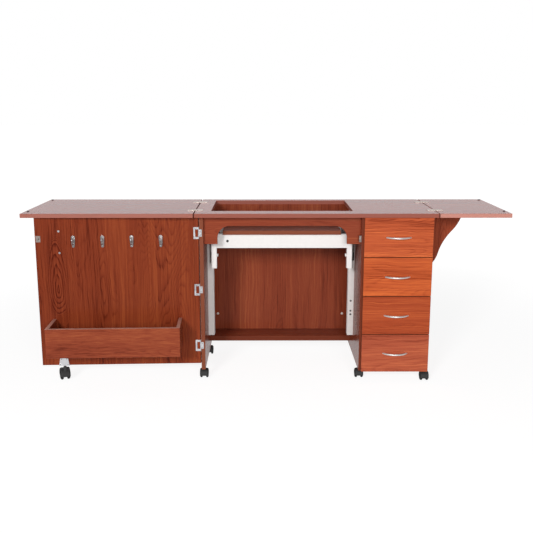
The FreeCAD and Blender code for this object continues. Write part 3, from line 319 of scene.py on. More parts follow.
def cherry_grain_group():
    """Cherry figure along Z: wavy growth rings, an oval eye, broad bands, streaks, fibres and pores."""
    tree, given, result = new_group(
        "Cherry grain",
        {"Vector": "Vector", "Tone": "Color", "Figure": "Float", "Rings": "Float", "Gloss": "Float",
         "Eye": "Vector", "Eye Reach": "Vector", "Eye Share": "Float"},
        {"Color": "Color", "Roughness": "Float", "Height": "Float"},
    )
    sway = (stretched_noise(tree, given["Vector"], *SWAY) - 0.5) * SWAY_REACH
    ripple = (stretched_noise(tree, given["Vector"], *RIPPLE) - 0.5) * RIPPLE_REACH
    side = add_node(tree, "CombineXYZ", {0: sway + ripple}).outputs[0]
    vector = vector_calc(tree, "ADD", given["Vector"], side)[0]
    noises = {name: stretched_noise(tree, vector, *cells) for name, cells in GRAIN_NOISES.items()}
    offset = vector_calc(tree, "SUBTRACT", vector, given["Eye"])[0]
    scaled = vector_calc(tree, "DIVIDE", offset, given["Eye Reach"])[0]
    parts = add_node(tree, "SeparateXYZ", {0: scaled}).outputs
    above, below = EYE_SQUEEZE
    tall = (Number(parts["Z"]) * above).calc("MAXIMUM", Number(parts["Z"]) * -below)
    egg = add_node(tree, "CombineXYZ", {0: parts["X"], 1: parts["Y"], 2: tall}).outputs[0]
    oval = Number(vector_calc(tree, "LENGTH", egg)["Value"])
    in_eye = oval.remap(*EYE_EDGE, 1.0, 0.0) * given["Eye Share"]
    rings = mix_numbers(tree, in_eye, noises["growth"] * RING_COUNT, oval * EYE_RINGS)
    ramp = add_node(tree, "ValToRGB", {0: (rings + noises["wander"] * RING_WANDER).calc("FRACT")})
    stops = ramp.color_ramp.elements
    stops[0].color = RING_END
    stops[1].color = RING_END
    for place, darkness in RING_STOPS:
        stops.new(place).color = (darkness, darkness, darkness, 1)
    clear = noises["clear"].remap(*CLEAR_WOOD).calc("MAXIMUM", in_eye)
    late_wood = Number(ramp.outputs[0]) * clear
    streak, fine, band, ribbon = [noises[name].remap(low, high, -depth, depth)
                                  for name, (low, high, depth) in GRAIN_SHADES.items()]
    pore = noises["pore"].remap(*PORE_RANGE)
    ring_depth = in_eye * EYE_DEPTH + Number(given["Rings"]) * RING_DEPTH
    light = (streak + fine) + (band + ribbon) - late_wood * ring_depth - pore * PORE_DEPTH
    light = (light + GRAIN_LIFT) * given["Figure"]
    dark = mix(tree, 1.0, given["Tone"], DARK_GRAIN, "MULTIPLY")
    bright = mix(tree, 1.0, given["Tone"], BRIGHT_GRAIN, "MULTIPLY")
    shaded = mix(tree, light.remap(*SHADE_RANGE), dark, given["Tone"])
    feed(result, {"Color": mix(tree, light.remap(*LIGHT_RANGE), shaded, bright),
                  "Roughness": noises["fibre"].remap(*FIBRE_SHEEN) + given["Gloss"],
                  "Height": noises["fibre"] * 0.5 - pore})
    return tree


def off_face_group():
    """A mask that is 0 on a board's flat face and 1 away from it, by the distance along the thickness."""
    tree, given, result = new_group("Off a face", {"Vector": "Vector", "Normal": "Vector", "Plane": "Float"},
                                    {"Mask": "Float"})
    depth = Number(vector_calc(tree, "DOT_PRODUCT", given["Vector"], given["Normal"])["Value"])
    feed(result, {"Mask": (depth - given["Plane"]).calc("ABSOLUTE").remap(*BAND_START)})
    return tree


def scuff_group():
    """Fine scuffs and uneven polish for metal and plastic."""
    tree, given, result = new_group(
        "Scuffs",
        {"Vector": "Vector", "Base": "Color", "Gloss": "Float", "Grain": "Float", "Cloud": "Float"},
        {"Color": "Color", "Roughness": "Float", "Height": "Float"},
    )
    clouds = stretched_noise(tree, given["Vector"], CLOUD_CELLS, CLOUD_CELLS, 3.0)
    cloudy = clouds.remap(*CLOUD_RANGE) * given["Cloud"]
    scaled = add_node(tree, "VectorMath", {0: given["Vector"], "Scale": given["Grain"]}, operation="SCALE")
    inputs = {"Vector": scaled.outputs[0], "Scale": 1.0, "Detail": 3.0}
    fine = Number(add_node(tree, "TexNoise", inputs).outputs[0])
    shade = cloudy + 1.0
    grey = add_node(tree, "CombineColor", {0: shade, 1: shade, 2: shade}).outputs[0]
    feed(result, {"Color": mix(tree, 1.0, given["Base"], grey, "MULTIPLY"),
                  "Roughness": cloudy * 0.5 + fine.remap(*SCUFF_SHEEN) + given["Gloss"],
                  "Height": fine})
    return tree


def new_material(name):
    """A material with an empty node tree but for its shader, the tree and the shader."""
    material = bpy.data.materials.new(name)
    material.use_nodes = True
    tree = material.node_tree
    tree.nodes.clear()
    shader = add_node(tree, "BsdfPrincipled")
    add_node(tree, "OutputMaterial", {"Surface": shader.outputs[0]})
    return material, tree, shader


def cherry(name, tone, turn, seed, figure=1.0, rings=0.6, shine=0.09, gloss=None, bands=None, eye=None):
    """Cherry laminate with its grain along one way; bands are a normal, face planes and a colour."""
    material, tree, shader = new_material(name)
    place = add_node(tree, "TexCoord").outputs["Object"]
    shift = Vector([step * seed for step in SEED_STEP])
    grain = add_node(tree, "Mapping", {"Vector": place, "Rotation": turn, "Location": shift}).outputs[0]
    inputs = {"Vector": grain, "Tone": (*tone, 1), "Figure": figure, "Rings": rings,
              "Gloss": gloss or bpy.context.scene.sewing_laminate.gloss}
    if eye is not None:
        inputs["Eye"] = Euler(turn).to_matrix() @ eye + shift
        inputs["Eye Reach"] = EYE_REACH
        inputs["Eye Share"] = 1.0
    figured = add_group(tree, "Cherry grain", cherry_grain_group, inputs)
    tinted = figured["Color"]
    rough = Number(figured["Roughness"])
    if bands:
        normal, planes, edge = bands
        masks = [add_group(tree, "Off a face", off_face_group,
                           {"Vector": place, "Normal": normal, "Plane": plane})[0] for plane in planes]
        off = Number(masks[0])
        for mask in masks[1:]:
            off = off * mask
        tinted = mix(tree, off, tinted, mix(tree, BAND_COVER, tinted, (*edge, 1)))
        rough = rough + off * BAND_ROUGHNESS
    relief = add_node(tree, "Bump", {"Strength": 0.05, "Distance": 0.0004, "Height": figured["Height"]})
    feed(shader, {"Base Color": tinted, "Roughness": rough, "Specular IOR Level": shine,
                  "Normal": relief.outputs[0]})
    return material


def scuffed(name, base, gloss, metallic=0.0, grain=900.0, bump=0.05, cloud=0.06, shine=0.5, beyond=None):
    """Metal or plastic with scuffs; beyond is a direction, a place along it and the colour past it."""
    material, tree, shader = new_material(name)
    place = add_node(tree, "TexCoord").outputs["Object"]
    tone = (*base, 1)
    if beyond:
        direction, plane, second = beyond
        reach = Number(vector_calc(tree, "DOT_PRODUCT", place, direction)["Value"])
        tone = mix(tree, reach.remap(plane - COLOUR_STEP, plane + COLOUR_STEP), tone, (*second, 1))
    worn = add_group(tree, "Scuffs", scuff_group,
                     {"Vector": place, "Base": tone, "Gloss": gloss, "Grain": grain, "Cloud": cloud})
    relief = add_node(tree, "Bump", {"Strength": bump, "Distance": 0.0003, "Height": worn["Height"]})
    feed(shader, {"Base Color": worn["Color"], "Roughness": worn["Roughness"], "Metallic": metallic,
                  "Specular IOR Level": shine, "Normal": relief.outputs[0]})
    return material


def finish_of(kind):
    """One of the shared finishes of the fittings, made the first time it is asked for."""
    fittings = bpy.context.scene.sewing_fittings
    steel = dict(metallic=1.0, grain=1500.0)
    plated = dict(metallic=1.0, grain=1200.0, bump=0.06)
    painted = dict(base=fittings.powder, gloss=0.42, grain=700.0, bump=0.04, cloud=0.015)
    door_face = planes_of("door_panel", DOOR_DEPTH)[1]
    carriage_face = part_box("lift_carriages")[0].y + CARRIAGE_FACE
    finishes = {
        "satin_nickel": dict(base=fittings.nickel, gloss=0.42, **steel),
        "screwed_nickel": dict(base=fittings.zinc, gloss=0.28,
                               beyond=(DOOR_DEPTH, door_face, fittings.nickel), **steel),
        "hook_steel": dict(base=fittings.hook, gloss=0.30, **steel),
        "chrome": dict(base=(0.80, 0.80, 0.80), gloss=0.12, bump=0.02, **steel),
        "flap_hinge": dict(base=fittings.flap, gloss=0.42, cloud=0.09, **plated),
        "zinc": dict(base=fittings.zinc, gloss=0.32, cloud=0.09, **plated),
        "strike": dict(base=(0.36, 0.30, 0.27), gloss=0.38, cloud=0.08, **plated),
        "hinge_plates": dict(base=fittings.zinc, gloss=0.36, cloud=0.09,
                             beyond=(Z_AXIS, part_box("left_side_panel")[1].z, fittings.flap), **plated),
        # Painted shade: the dark finish of a screw's cross; the strike screw's whole head takes it too
        "recess": dict(base=(0.05, 0.045, 0.04), gloss=0.55, metallic=0.6, grain=1200.0),
        "powder_coat": painted,
        # Painted shade: the carriages turn dark brown behind their white front
        "carriage_painted_shade": dict(beyond=(Y_AXIS, carriage_face, CARRIAGE_PAINTED_SHADE), **painted),
        "black_paint_and_shade": dict(base=(0.02, 0.02, 0.02), gloss=0.35),
        "catch_plastic": dict(base=fittings.catch, gloss=0.45, grain=1100.0),
        "pale_plastic": dict(base=fittings.pale, gloss=0.40, grain=1100.0),
        "black_plastic": dict(base=fittings.black, gloss=0.36, grain=1400.0, bump=0.10, cloud=0.10,
                              shine=0.025),
        "tyre": dict(base=(0.009, 0.009, 0.010), gloss=0.46, grain=1600.0, bump=0.15, cloud=0.15,
                     shine=0.025),
        "rubber": dict(base=fittings.rubber, gloss=0.62, grain=1600.0, bump=0.15),
        # Painted highlight: the pale bands on the pocket's upper edges
        "rim_highlight": dict(base=bpy.context.scene.sewing_laminate.edge_highlight, gloss=0.50, grain=500.0,
                          bump=0.04, cloud=0.10),
    }
    return bpy.data.materials.get(kind) or scuffed(kind, **finishes[kind])


def coat_node(name, material):
    """Put a material on every slot of a CAD node."""
    for slot in frame["nodes"][name].material_slots:
        slot.material = material


def planes_of(name, normal):
    """The lowest and highest place of a CAD node along a direction."""
    reach = [vert.co.dot(normal) for vert in frame["nodes"][name].data.vertices]
    return min(reach), max(reach)


def solids(name, into=Matrix()):
    """The boxes of a CAD node's separate solids in a given frame, sorted by their lowest corners."""
    bm = bmesh.new()
    bm.from_mesh(frame["nodes"][name].data)
    bmesh.ops.remove_doubles(bm, verts=bm.verts, dist=WELD)
    waiting = set(bm.verts)
    boxes = []
    while waiting:
        linked = [waiting.pop()]
        for vert in linked:
            near = {edge.other_vert(vert) for edge in vert.link_edges} & waiting
            waiting -= near
            linked.extend(near)
        places = [into @ vert.co for vert in linked]
        boxes.append([Vector([pick(values) for values in zip(*places)]) for pick in (min, max)])
    bm.free()
    return sorted(boxes, key=lambda box: tuple(box[0]))


def door_solids(name):
    """The boxes of a CAD node's separate solids in the door's own frame."""
    return solids(name, DOOR_FRAME.inverted())


def make_piece(name, bm, body, materials, stands_for=()):
    """Finish a piece from a bmesh: closed, its faces outwards, riding on a body."""
    bmesh.ops.recalc_face_normals(bm, faces=bm.faces)
    mesh = bpy.data.meshes.new(name)
    bm.to_mesh(mesh)
    bm.free()
    for material in materials:
        mesh.materials.append(finish_of(material))
    mesh.polygons.foreach_set("use_smooth", [True] * len(mesh.polygons))
    mesh.set_sharp_from_angle(angle=SMOOTH_ANGLE)
    piece = bpy.data.objects.new(name, mesh)
    bpy.context.scene.collection.objects.link(piece)
    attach(piece, body)
    if stands_for:
        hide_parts(*stands_for)


def along(direction, place):
    """A frame at a place, with its Z along a direction."""
    return Matrix.Translation(place) @ Vector(direction).to_track_quat("Z", "Y").to_matrix().to_4x4()


def linked_edges(verts):
    """The edges at some verts."""
    return list({edge for vert in verts for edge in vert.link_edges})


def linked_faces(verts):
    """The faces at some verts."""
    return {face for vert in verts for face in vert.link_faces}


def only(kind, items):
    """The items of one bmesh kind."""
    return [item for item in items if isinstance(item, kind)]


def close_holes(bm):
    """Fill every open rim of a bmesh."""
    bmesh.ops.holes_fill(bm, edges=[edge for edge in bm.edges if edge.is_boundary], sides=0)


def round_edges(bm, edges, soft):
    """Round some edges off in three steps."""
    bmesh.ops.bevel(bm, geom=edges, offset=soft, affect="EDGES", segments=3, profile=0.5, material=-1)


def turned(bm, profile, at, steps=32, material=0):
    """A profile of (radius, height) pairs that starts and ends on a frame's Z axis, spun round it."""
    verts = [bm.verts.new(at @ Vector((radius, 0, height))) for radius, height in profile]
    edges = [bm.edges.new(pair) for pair in zip(verts, verts[1:])]
    before = set(bm.faces)
    bmesh.ops.spin(bm, geom=verts + edges, cent=at.translation, axis=at.to_3x3() @ Z_AXIS, angle=2 * math.pi,
                   steps=steps, use_merge=True)
    for face in set(bm.faces) - before:
        face.material_index = material
    bmesh.ops.remove_doubles(bm, verts=bm.verts, dist=WELD)


def block(bm, lo, hi, at, soft, material=0):
    """A block between two corners of a frame, with its edges rounded."""
    size = Vector(hi) - Vector(lo)
    middle = at @ Matrix.Translation((Vector(lo) + Vector(hi)) / 2) @ Matrix.Diagonal((*size, 1))
    made = bmesh.ops.create_cube(bm, size=1.0, matrix=middle)["verts"]
    for face in linked_faces(made):
        face.material_index = material
    round_edges(bm, linked_edges(made), soft)


def screw_head(bm, place, normal, radius, proud, material=0):
    """A low domed screw head with a dark cross of painted shade for its recess, on a face with that outward
    normal.
    """
    at = along(normal, Vector(place))
    turned(bm, [(out * radius, up * proud) for out, up in SCREW_DOME], at, steps=20, material=material)
    long, wide = [reach * radius for reach in SCREW_CROSS]
    low, high = [up * proud for up in CROSS_DEPTH]
    for turn in (math.pi / 4, -math.pi / 4):
        bar = at @ Matrix.Rotation(turn, 4, "Z")
        block(bm, (-long, -wide, low), (long, wide, high), bar, CROSS_SOFT * proud, 1)


class SEWING_OT_boards(bpy.types.Operator):
    """Put the cherry laminate on every board"""

    bl_idname = "sewing_table.boards"
    bl_label = "Laminate boards"

    # How far the left leaf's edge bands go from the plain ones to the pale ones, as a share of the painted
    # highlight
    EDGE_HIGHLIGHT_SHARE = 0.28

    def execute(self, context):
        tones = context.scene.sewing_laminate
        between = [(1 - self.EDGE_HIGHLIGHT_SHARE) * plain + self.EDGE_HIGHLIGHT_SHARE * pale
                   for plain, pale in zip(tones.edge, tones.edge_highlight)]
        # Painted highlight: the right leaf's edge bands take the pale tone, the left leaf's a share of it
        tops = (("main_top", tones.edge), ("left_leaf_board", between),
                ("right_leaf_board", tones.edge_highlight))
        for seed, (name, edge) in enumerate(tops, 1):
            self.dress(name, tones.top, GRAIN_LENGTHWISE, seed, Z_AXIS, edge, figure=0.9, shine=0.40)
        self.dress("lift_platform", tones.pocket, GRAIN_LENGTHWISE, 4, Z_AXIS, tones.edge)
        # Boards inside the knee hole take the darker edge bands of painted shade
        for seed, name in enumerate(("knee_shelf", "drawer_bay_floor"), 5):
            self.dress(name, tones.carcass, GRAIN_LENGTHWISE, seed, Z_AXIS, tones.shaded_edge)
        panels = (("left_side_panel", tones.edge, tones.panel_gloss),
                  ("middle_panel", tones.shaded_edge, tones.panel_gloss),
                  ("right_side_panel", tones.edge, tones.side_gloss))
        for seed, (name, edge, gloss) in enumerate(panels, 7):
            self.dress(name, tones.carcass, GRAIN_UPRIGHT, seed, X_AXIS, edge, gloss=gloss)
        self.dress("back_panels", tones.carcass, GRAIN_UPRIGHT, 11, Y_AXIS, tones.edge, figure=1.15,
                   rings=0.5)
        self.dress("leaf_bracket", tones.bracket, GRAIN_UPRIGHT, 12, Y_AXIS, tones.edge)
        self.dress("front_apron", tones.pocket, GRAIN_LENGTHWISE, 13, Y_AXIS, tones.edge)
        # Each drawer's cast includes a painted reflection haze on the lowest one
        for count, (name, cast) in enumerate(zip(DRAWERS, DRAWER_TONES_AND_HAZE)):
            tone = [part * value for part, value in zip(cast, tones.drawer)]
            seed = 40 + 3.7 * count
            self.dress(f"{name}_front", tone, GRAIN_LENGTHWISE, seed, Y_AXIS, tones.edge, figure=1.2,
                       rings=0.45)
        self.dress_door(tones)
        return {"FINISHED"}

    def dress(self, name, tone, turn, seed, normal, edge, **look):
        """Laminate one board, with edge bands off its two faces."""
        bands = (tuple(normal), planes_of(name, normal), edge)
        coat_node(name, cherry(f"{name}_cherry", tone, turn, seed, bands=bands, **look))

    def dress_door(self, tones):
        """Laminate the door, whose panel lies behind the face of its stile, and its pocket."""
        inner, outer = planes_of("door_panel", DOOR_DEPTH)
        panel_face = door_solids("strike_plate")[0][1].y
        stile_face = door_solids("door_panel")[0][0].y
        bands = (tuple(DOOR_DEPTH), (inner, inner + panel_face - stile_face, outer), tones.edge)
        eye = DOOR_FRAME @ Vector((EYE_PLACE[0], panel_face, EYE_PLACE[1]))
        panel = cherry("door_panel_cherry", tones.door, GRAIN_UPRIGHT, 20, figure=1.3, rings=0.65,
                       bands=bands, eye=eye)
        coat_node("door_panel", panel)
        pocket = cherry("door_pocket_cherry", tones.pocket, GRAIN_LENGTHWISE, 27, figure=1.25, rings=0.7)
        coat_node("door_pocket", pocket)


class SEWING_OT_drawer_boxes(bpy.types.Operator):
    """Put the paler laminate on the drawer boxes"""

    bl_idname = "sewing_table.drawer_boxes"
    bl_label = "Drawer boxes"

    def execute(self, context):
        tone = context.scene.sewing_laminate.drawer_box
        for seed, name in enumerate(DRAWERS, 30):
            laminate = cherry(f"{name}_box_laminate", tone, GRAIN_LENGTHWISE, seed, figure=0.35)
            coat_node(f"{name}_box", laminate)
        return {"FINISHED"}


class SEWING_OT_hinges(bpy.types.Operator):
    """Finish the hinges and runners, and put screws in the hinge plates"""

    bl_idname = "sewing_table.hinges"
    bl_label = "Hinges"

    # Thickness of a plate, face of a door hinge before its pin, and height of a screw
    PLATE = 0.0014
    DOOR_FACE = 0.0008
    SCREW_HEIGHT = 0.0004
    # Distances of the screws from a plate's side and from its ends
    WING_SCREW = (0.012, 0.010)
    FRAME_SCREW = (0.0095, 0.0055)
    LEAF_SCREW = (0.0062, 0.0175)
    # Distances from the far edge and from the middle of a flap hinge's plate
    FLAP_SCREWS = ((0.0085, -0.0145), (0.0085, 0.0145), (0.0195, 0.0))

    def execute(self, context):
        for name in ("door_hinge_frames", "bracket_hinge_wings", "runner_channels"):
            coat_node(name, finish_of("zinc"))
        coat_node("cabinet_hinge_plates", finish_of("hinge_plates"))
        for name in ("left_leaf_hinges", "right_leaf_hinges"):
            coat_node(name, finish_of("flap_hinge"))
        self.radius = context.scene.sewing_fittings.hinge_screw
        self.screw_door_frames()
        self.screw_cabinet_plates()
        for side, inwards in (("left", 1), ("right", -1)):
            bm = bmesh.new()
            for lo, hi in solids(f"{side}_leaf_hinges"):
                self.screw_flap(bm, lo, hi, lo.x if inwards > 0 else hi.x, inwards)
            make_piece(f"{side}_leaf_hinge_screws", bm, f"{side}_leaf", SCREW_FINISH)
        bm = bmesh.new()
        inset, margin = self.WING_SCREW
        for lo, hi in solids("bracket_hinge_wings"):
            for height in (lo.z + margin, hi.z - margin):
                place = (hi.x - inset, lo.y + self.PLATE, height)
                screw_head(bm, place, Y_AXIS, self.radius, self.SCREW_HEIGHT)
        make_piece("bracket_wing_screws", bm, "leaf_bracket", SCREW_FINISH)
        return {"FINISHED"}

    def screw_door_frames(self):
        """Two flat screws in each hinge frame of the door, above and below its opening."""
        bm = bmesh.new()
        inset, margin = self.FRAME_SCREW
        for lo, hi in door_solids("door_hinge_frames"):
            for height in (lo.z + margin, hi.z - margin):
                place = DOOR_FRAME @ Vector((lo.x + inset, -self.DOOR_FACE, height))
                screw_head(bm, place, -DOOR_DEPTH, self.radius, FLUSH_HEIGHT)
        make_piece("door_hinge_screws", bm, "door", SCREW_FINISH)

    def screw_cabinet_plates(self):
        """Screws in the hinge plates that stay on the cabinet: door, both leaves and the swing bracket."""
        bm = bmesh.new()
        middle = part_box("main_top")[0].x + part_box("main_top")[1].x
        for lo, hi in solids("cabinet_hinge_plates"):
            if lo.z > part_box("left_side_panel")[1].z:
                inwards = -1 if 2 * lo.x < middle else 1
                self.screw_flap(bm, lo, hi, hi.x if inwards < 0 else lo.x, inwards)
            elif hi.x < 0:
                inset, margin = self.LEAF_SCREW
                for height in (lo.z + margin, hi.z - margin):
                    place = (hi.x - inset, DOOR_PIN.y - self.DOOR_FACE, height)
                    screw_head(bm, place, -Y_AXIS, self.radius, FLUSH_HEIGHT)
            else:
                inset, margin = self.WING_SCREW
                for height in (lo.z + margin, hi.z - margin):
                    place = (lo.x + self.PLATE, hi.y - inset, height)
                    screw_head(bm, place, X_AXIS, self.radius, self.SCREW_HEIGHT)
        make_piece("cabinet_hinge_screws", bm, "cabinet", SCREW_FINISH)

    def screw_flap(self, bm, lo, hi, far, inwards):
        """Three low screws in a flap hinge's plate, two along its far edge and one nearer the pin."""
        for depth, across in self.FLAP_SCREWS:
            place = (far + inwards * depth, (lo.y + hi.y) / 2 + across, lo.z + self.PLATE)
            screw_head(bm, place, Z_AXIS, self.radius, self.SCREW_HEIGHT)


class SEWING_OT_handles(bpy.types.Operator):
    """Finish the bow handles with their screws and rails"""

    bl_idname = "sewing_table.handles"
    bl_label = "Handles"

    def execute(self, context):
        for drawer in DRAWERS:
            coat_node(f"{drawer}_hardware", finish_of("satin_nickel"))
        coat_node("door_handle", finish_of("screwed_nickel"))
        return {"FINISHED"}


class SEWING_OT_coat_hooks(bpy.types.Operator):
    """Model the coat hooks: a drop-shaped plate with two screws, and a bent rod that ends in a ball"""

    bl_idname = "sewing_table.coat_hooks"
    bl_label = "Coat hooks"

    # The plate: thickness, rounding and narrowing of its lower end
    PLATE = 0.0025
    PLATE_SOFT = 0.0012
    TAPER = 0.70
    # The screws: distances from the plate's upper and lower end, and height
    SCREW_INSETS = (0.008, 0.0065)
    SCREW_HEIGHT = 0.0007
    # The rod: place above the plate's lower end, radius of its bend, and the ball above its root
    ROD_PLACE = 0.016
    BEND = 0.009
    BALL_RISE = 0.021

    def execute(self, context):
        fittings = context.scene.sewing_fittings
        bm = bmesh.new()
        for lo, hi in door_solids("coat_hooks"):
            self.hang(bm, lo, hi, fittings)
        bmesh.ops.transform(bm, matrix=DOOR_FRAME, verts=bm.verts)
        make_piece("coat_hook_set", bm, "door", ("hook_steel", "recess", "zinc"),
                   ("coat_hooks",))
        return {"FINISHED"}

    def hang(self, bm, lo, hi, fittings):
        """One hook inside its solid's box, in the door's own frame."""
        half = (hi.x - lo.x) / 2
        middle = lo.x + half
        centre = hi.z - half
        at = Matrix.Translation((middle, hi.y, centre)) @ Matrix.Rotation(math.pi / 2, 4, "X")
        disc = bmesh.ops.create_circle(bm, cap_ends=True, segments=36, radius=half, matrix=at)["verts"]
        for vert in disc:
            if vert.co.z < centre - WELD:
                vert.co.x = middle + self.TAPER * (vert.co.x - middle)
                vert.co.z = lo.z + self.TAPER * half + self.TAPER * (vert.co.z - centre)
        raised = bmesh.ops.extrude_face_region(bm, geom=[disc[0].link_faces[0]])["geom"]
        front = only(BMVert, raised)
        bmesh.ops.translate(bm, vec=(0, -self.PLATE, 0), verts=front)
        rim = [edge for edge in linked_edges(front) if all(vert in front for vert in edge.verts)]
        round_edges(bm, rim, self.PLATE_SOFT)
        upper, lower = self.SCREW_INSETS
        face = hi.y - self.PLATE
        for height in (hi.z - upper, lo.z + lower):
            screw_head(bm, (middle, face, height), -Y_AXIS, SMALL_RADIUS, self.SCREW_HEIGHT, 2)
        self.bend_rod(bm, Vector((middle, face, lo.z + self.ROD_PLACE)), lo.y, fittings)

    def bend_rod(self, bm, start, nearest, fittings):
        """The rod out of the plate, its bend upwards and the ball on its end."""
        ball = Vector((start.x, nearest + fittings.hook_ball, start.z + self.BALL_RISE))
        root = along(-Y_AXIS, start)
        ring = bmesh.ops.create_circle(bm, segments=18, radius=fittings.hook_rod, matrix=root)["verts"]
        ends = bmesh.ops.extrude_edge_only(bm, edges=linked_edges(ring))["geom"]
        bmesh.ops.translate(bm, vec=(0, ball.y + self.BEND - start.y, 0), verts=only(BMVert, ends))
        turn = Vector((start.x, ball.y + self.BEND, start.z + self.BEND))
        spun = bmesh.ops.spin(bm, geom=only(BMVert, ends) + only(BMEdge, ends), cent=turn, axis=X_AXIS,
                              angle=-math.pi / 2, steps=10)
        rise = bmesh.ops.extrude_edge_only(bm, edges=only(BMEdge, spun["geom_last"]))["geom"]
        bmesh.ops.translate(bm, vec=(0, 0, self.BALL_RISE - self.BEND), verts=only(BMVert, rise))
        bmesh.ops.remove_doubles(bm, verts=bm.verts, dist=WELD)
        close_holes(bm)
        knob = bmesh.ops.create_uvsphere(bm, u_segments=24, v_segments=14, radius=fittings.hook_ball,
                                         matrix=Matrix.Translation(ball))["verts"]
        for face in linked_faces(knob):
            face.material_index = 2


class SEWING_OT_catch(bpy.types.Operator):
    """Model the magnetic catch with its pole plates, and screw down the strike plate"""

    bl_idname = "sewing_table.catch"
    bl_label = "Catch"

    # The case lies behind the poles, which have places across it, a width and a depth
    CASE_BACK = 0.0015
    CASE_SOFT = 0.0012
    POLE_PLACES = (0.0022, 0.0060)
    POLE = (0.0016, 0.006)
    POLE_MARGIN = 0.004
    POLE_SOFT = 0.0003
    STRIKE_INSET = 0.0065

    def execute(self, context):
        lo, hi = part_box("magnetic_catch")
        bm = bmesh.new()
        block(bm, (lo.x, lo.y + self.CASE_BACK, lo.z), hi, Matrix(), self.CASE_SOFT)
        wide, deep = self.POLE
        for inset in self.POLE_PLACES:
            block(bm, (lo.x + inset, lo.y, lo.z + self.POLE_MARGIN),
                  (lo.x + inset + wide, lo.y + deep, hi.z - self.POLE_MARGIN), Matrix(), self.POLE_SOFT, 1)
        make_piece("catch_with_poles", bm, "cabinet", ("catch_plastic", "strike"),
                   ("magnetic_catch",))
        coat_node("strike_plate", finish_of("strike"))
        lo, hi = door_solids("strike_plate")[0]
        bm = bmesh.new()
        place = DOOR_FRAME @ Vector((hi.x - self.STRIKE_INSET, lo.y, (lo.z + hi.z) / 2))
        screw_head(bm, place, -DOOR_DEPTH, SMALL_RADIUS, FLUSH_HEIGHT)
        make_piece("strike_screw", bm, "door", ("recess", "recess"))
        return {"FINISHED"}


class SEWING_OT_lift(bpy.types.Operator):
    """Finish the lift, and add its chain, the inserts of its columns and the grommets of its beams"""

    bl_idname = "sewing_table.lift"
    bl_label = "Lift"

    # Distance of the cable hole from a beam's end, and radius and height along the grommet
    CABLE_HOLE = 0.050
    GROMMET = ((0, 0.0003), (0.0030, 0.0003), (0.0042, 0.0009), (0.0053, 0.0008), (0.0058, 0.0),
               (0.0044, 0.0), (0.0044, -0.0034), (0, -0.0034))
    # Heights of the adjusting holes, wall of a column, and radius and height along an insert
    ADJUSTING_HOLES = (0.248, 0.265, 0.314)
    COLUMN_WALL = 0.0018
    INSERT = ((0, 0.0016), (0.0024, 0.0016), (0.0030, 0.0021), (0.0042, 0.0021), (0.0046, 0.0018),
              (0.0029, 0.0018), (0.0029, 0), (0, 0))
    # The chain's foot above the column's and its middle from the column's left side
    CHAIN_FOOT = 0.365
    CHAIN_MIDDLE = 0.0215
    # Left side, right side and thickness of the dark slot and of the groove, thin black inlays of painted
    # shade where the column is open
    SLOT = (0.0175, 0.0255, 0.0004)
    SLOT_MARGIN = 0.010
    GROOVE = (0.0180, 0.0200, 0.0003)
    GROOVE_LENGTH = 0.037
    INLAY_SOFT = 0.0001
    # Count of the links, their places up the chain, half widths in turn, and depths before the column
    LINKS = 20
    LINK_START = 0.040
    LINK_PITCH = 0.0090
    LINK_LENGTH = 0.0072
    LINK_HALVES = (0.0021, 0.0012)
    LINK_DEPTH = (0.0017, 0.0003)
    LINK_SOFT = 0.0005

    def execute(self, context):
        for name in ("lift_columns", "lift_beams"):
            coat_node(name, finish_of("powder_coat"))
        # The carriages' finish paints shade on them behind their white front
        coat_node("lift_carriages", finish_of("carriage_painted_shade"))
        coat_node("gas_spring_cylinders", finish_of("black_paint_and_shade"))
        coat_node("gas_spring_rods", finish_of("chrome"))
        self.fit_grommets()
        self.column = solids("lift_columns")[1]
        self.fit_inserts()
        self.hang_chain()
        return {"FINISHED"}

    def fit_grommets(self):
        """A closed rubber grommet in the cable hole of each beam."""
        bm = bmesh.new()
        (front_lo, front_hi), (rear_lo, rear_hi) = solids("lift_beams")
        for face, outwards in ((front_lo.y, -Y_AXIS), (rear_hi.y, Y_AXIS)):
            place = Vector((front_lo.x + self.CABLE_HOLE, face, (front_lo.z + front_hi.z) / 2))
            turned(bm, self.GROMMET, along(outwards, place), steps=28)
        make_piece("beam_grommets", bm, "lift", ("rubber",))

    def fit_inserts(self):
        """Dark inserts in the adjusting holes of the right column."""
        bm = bmesh.new()
        lo, hi = self.column
        for height in self.ADJUSTING_HOLES:
            place = Vector(((lo.x + hi.x) / 2, lo.y + self.COLUMN_WALL, height))
            turned(bm, self.INSERT, along(-Y_AXIS, place), steps=20)
        make_piece("column_inserts", bm, "cabinet", ("rubber",))

    def hang_chain(self):
        """The balance chain in its slot on the right column's face, and the groove below it, both dark inlays
        of painted shade.
        """
        bm = bmesh.new()
        lo, hi = self.column
        foot = lo.z + self.CHAIN_FOOT
        # Painted shade: thin black inlays stand in for the dark of the slot and the groove
        for (left, right, thick), low, high in ((self.SLOT, foot, hi.z - self.SLOT_MARGIN),
                                                (self.GROOVE, foot - self.GROOVE_LENGTH, foot)):
            block(bm, (lo.x + left, lo.y - thick, low), (lo.x + right, lo.y, high), Matrix(), self.INLAY_SOFT)
        middle = lo.x + self.CHAIN_MIDDLE
        near, far = [lo.y - depth for depth in self.LINK_DEPTH]
        for count in range(self.LINKS):
            low = foot + self.LINK_START + self.LINK_PITCH * count
            half = self.LINK_HALVES[count % 2]
            block(bm, (middle - half, near, low), (middle + half, far, low + self.LINK_LENGTH), Matrix(),
                  self.LINK_SOFT, 1)
        make_piece("column_chain", bm, "cabinet", ("black_paint_and_shade", "strike"))


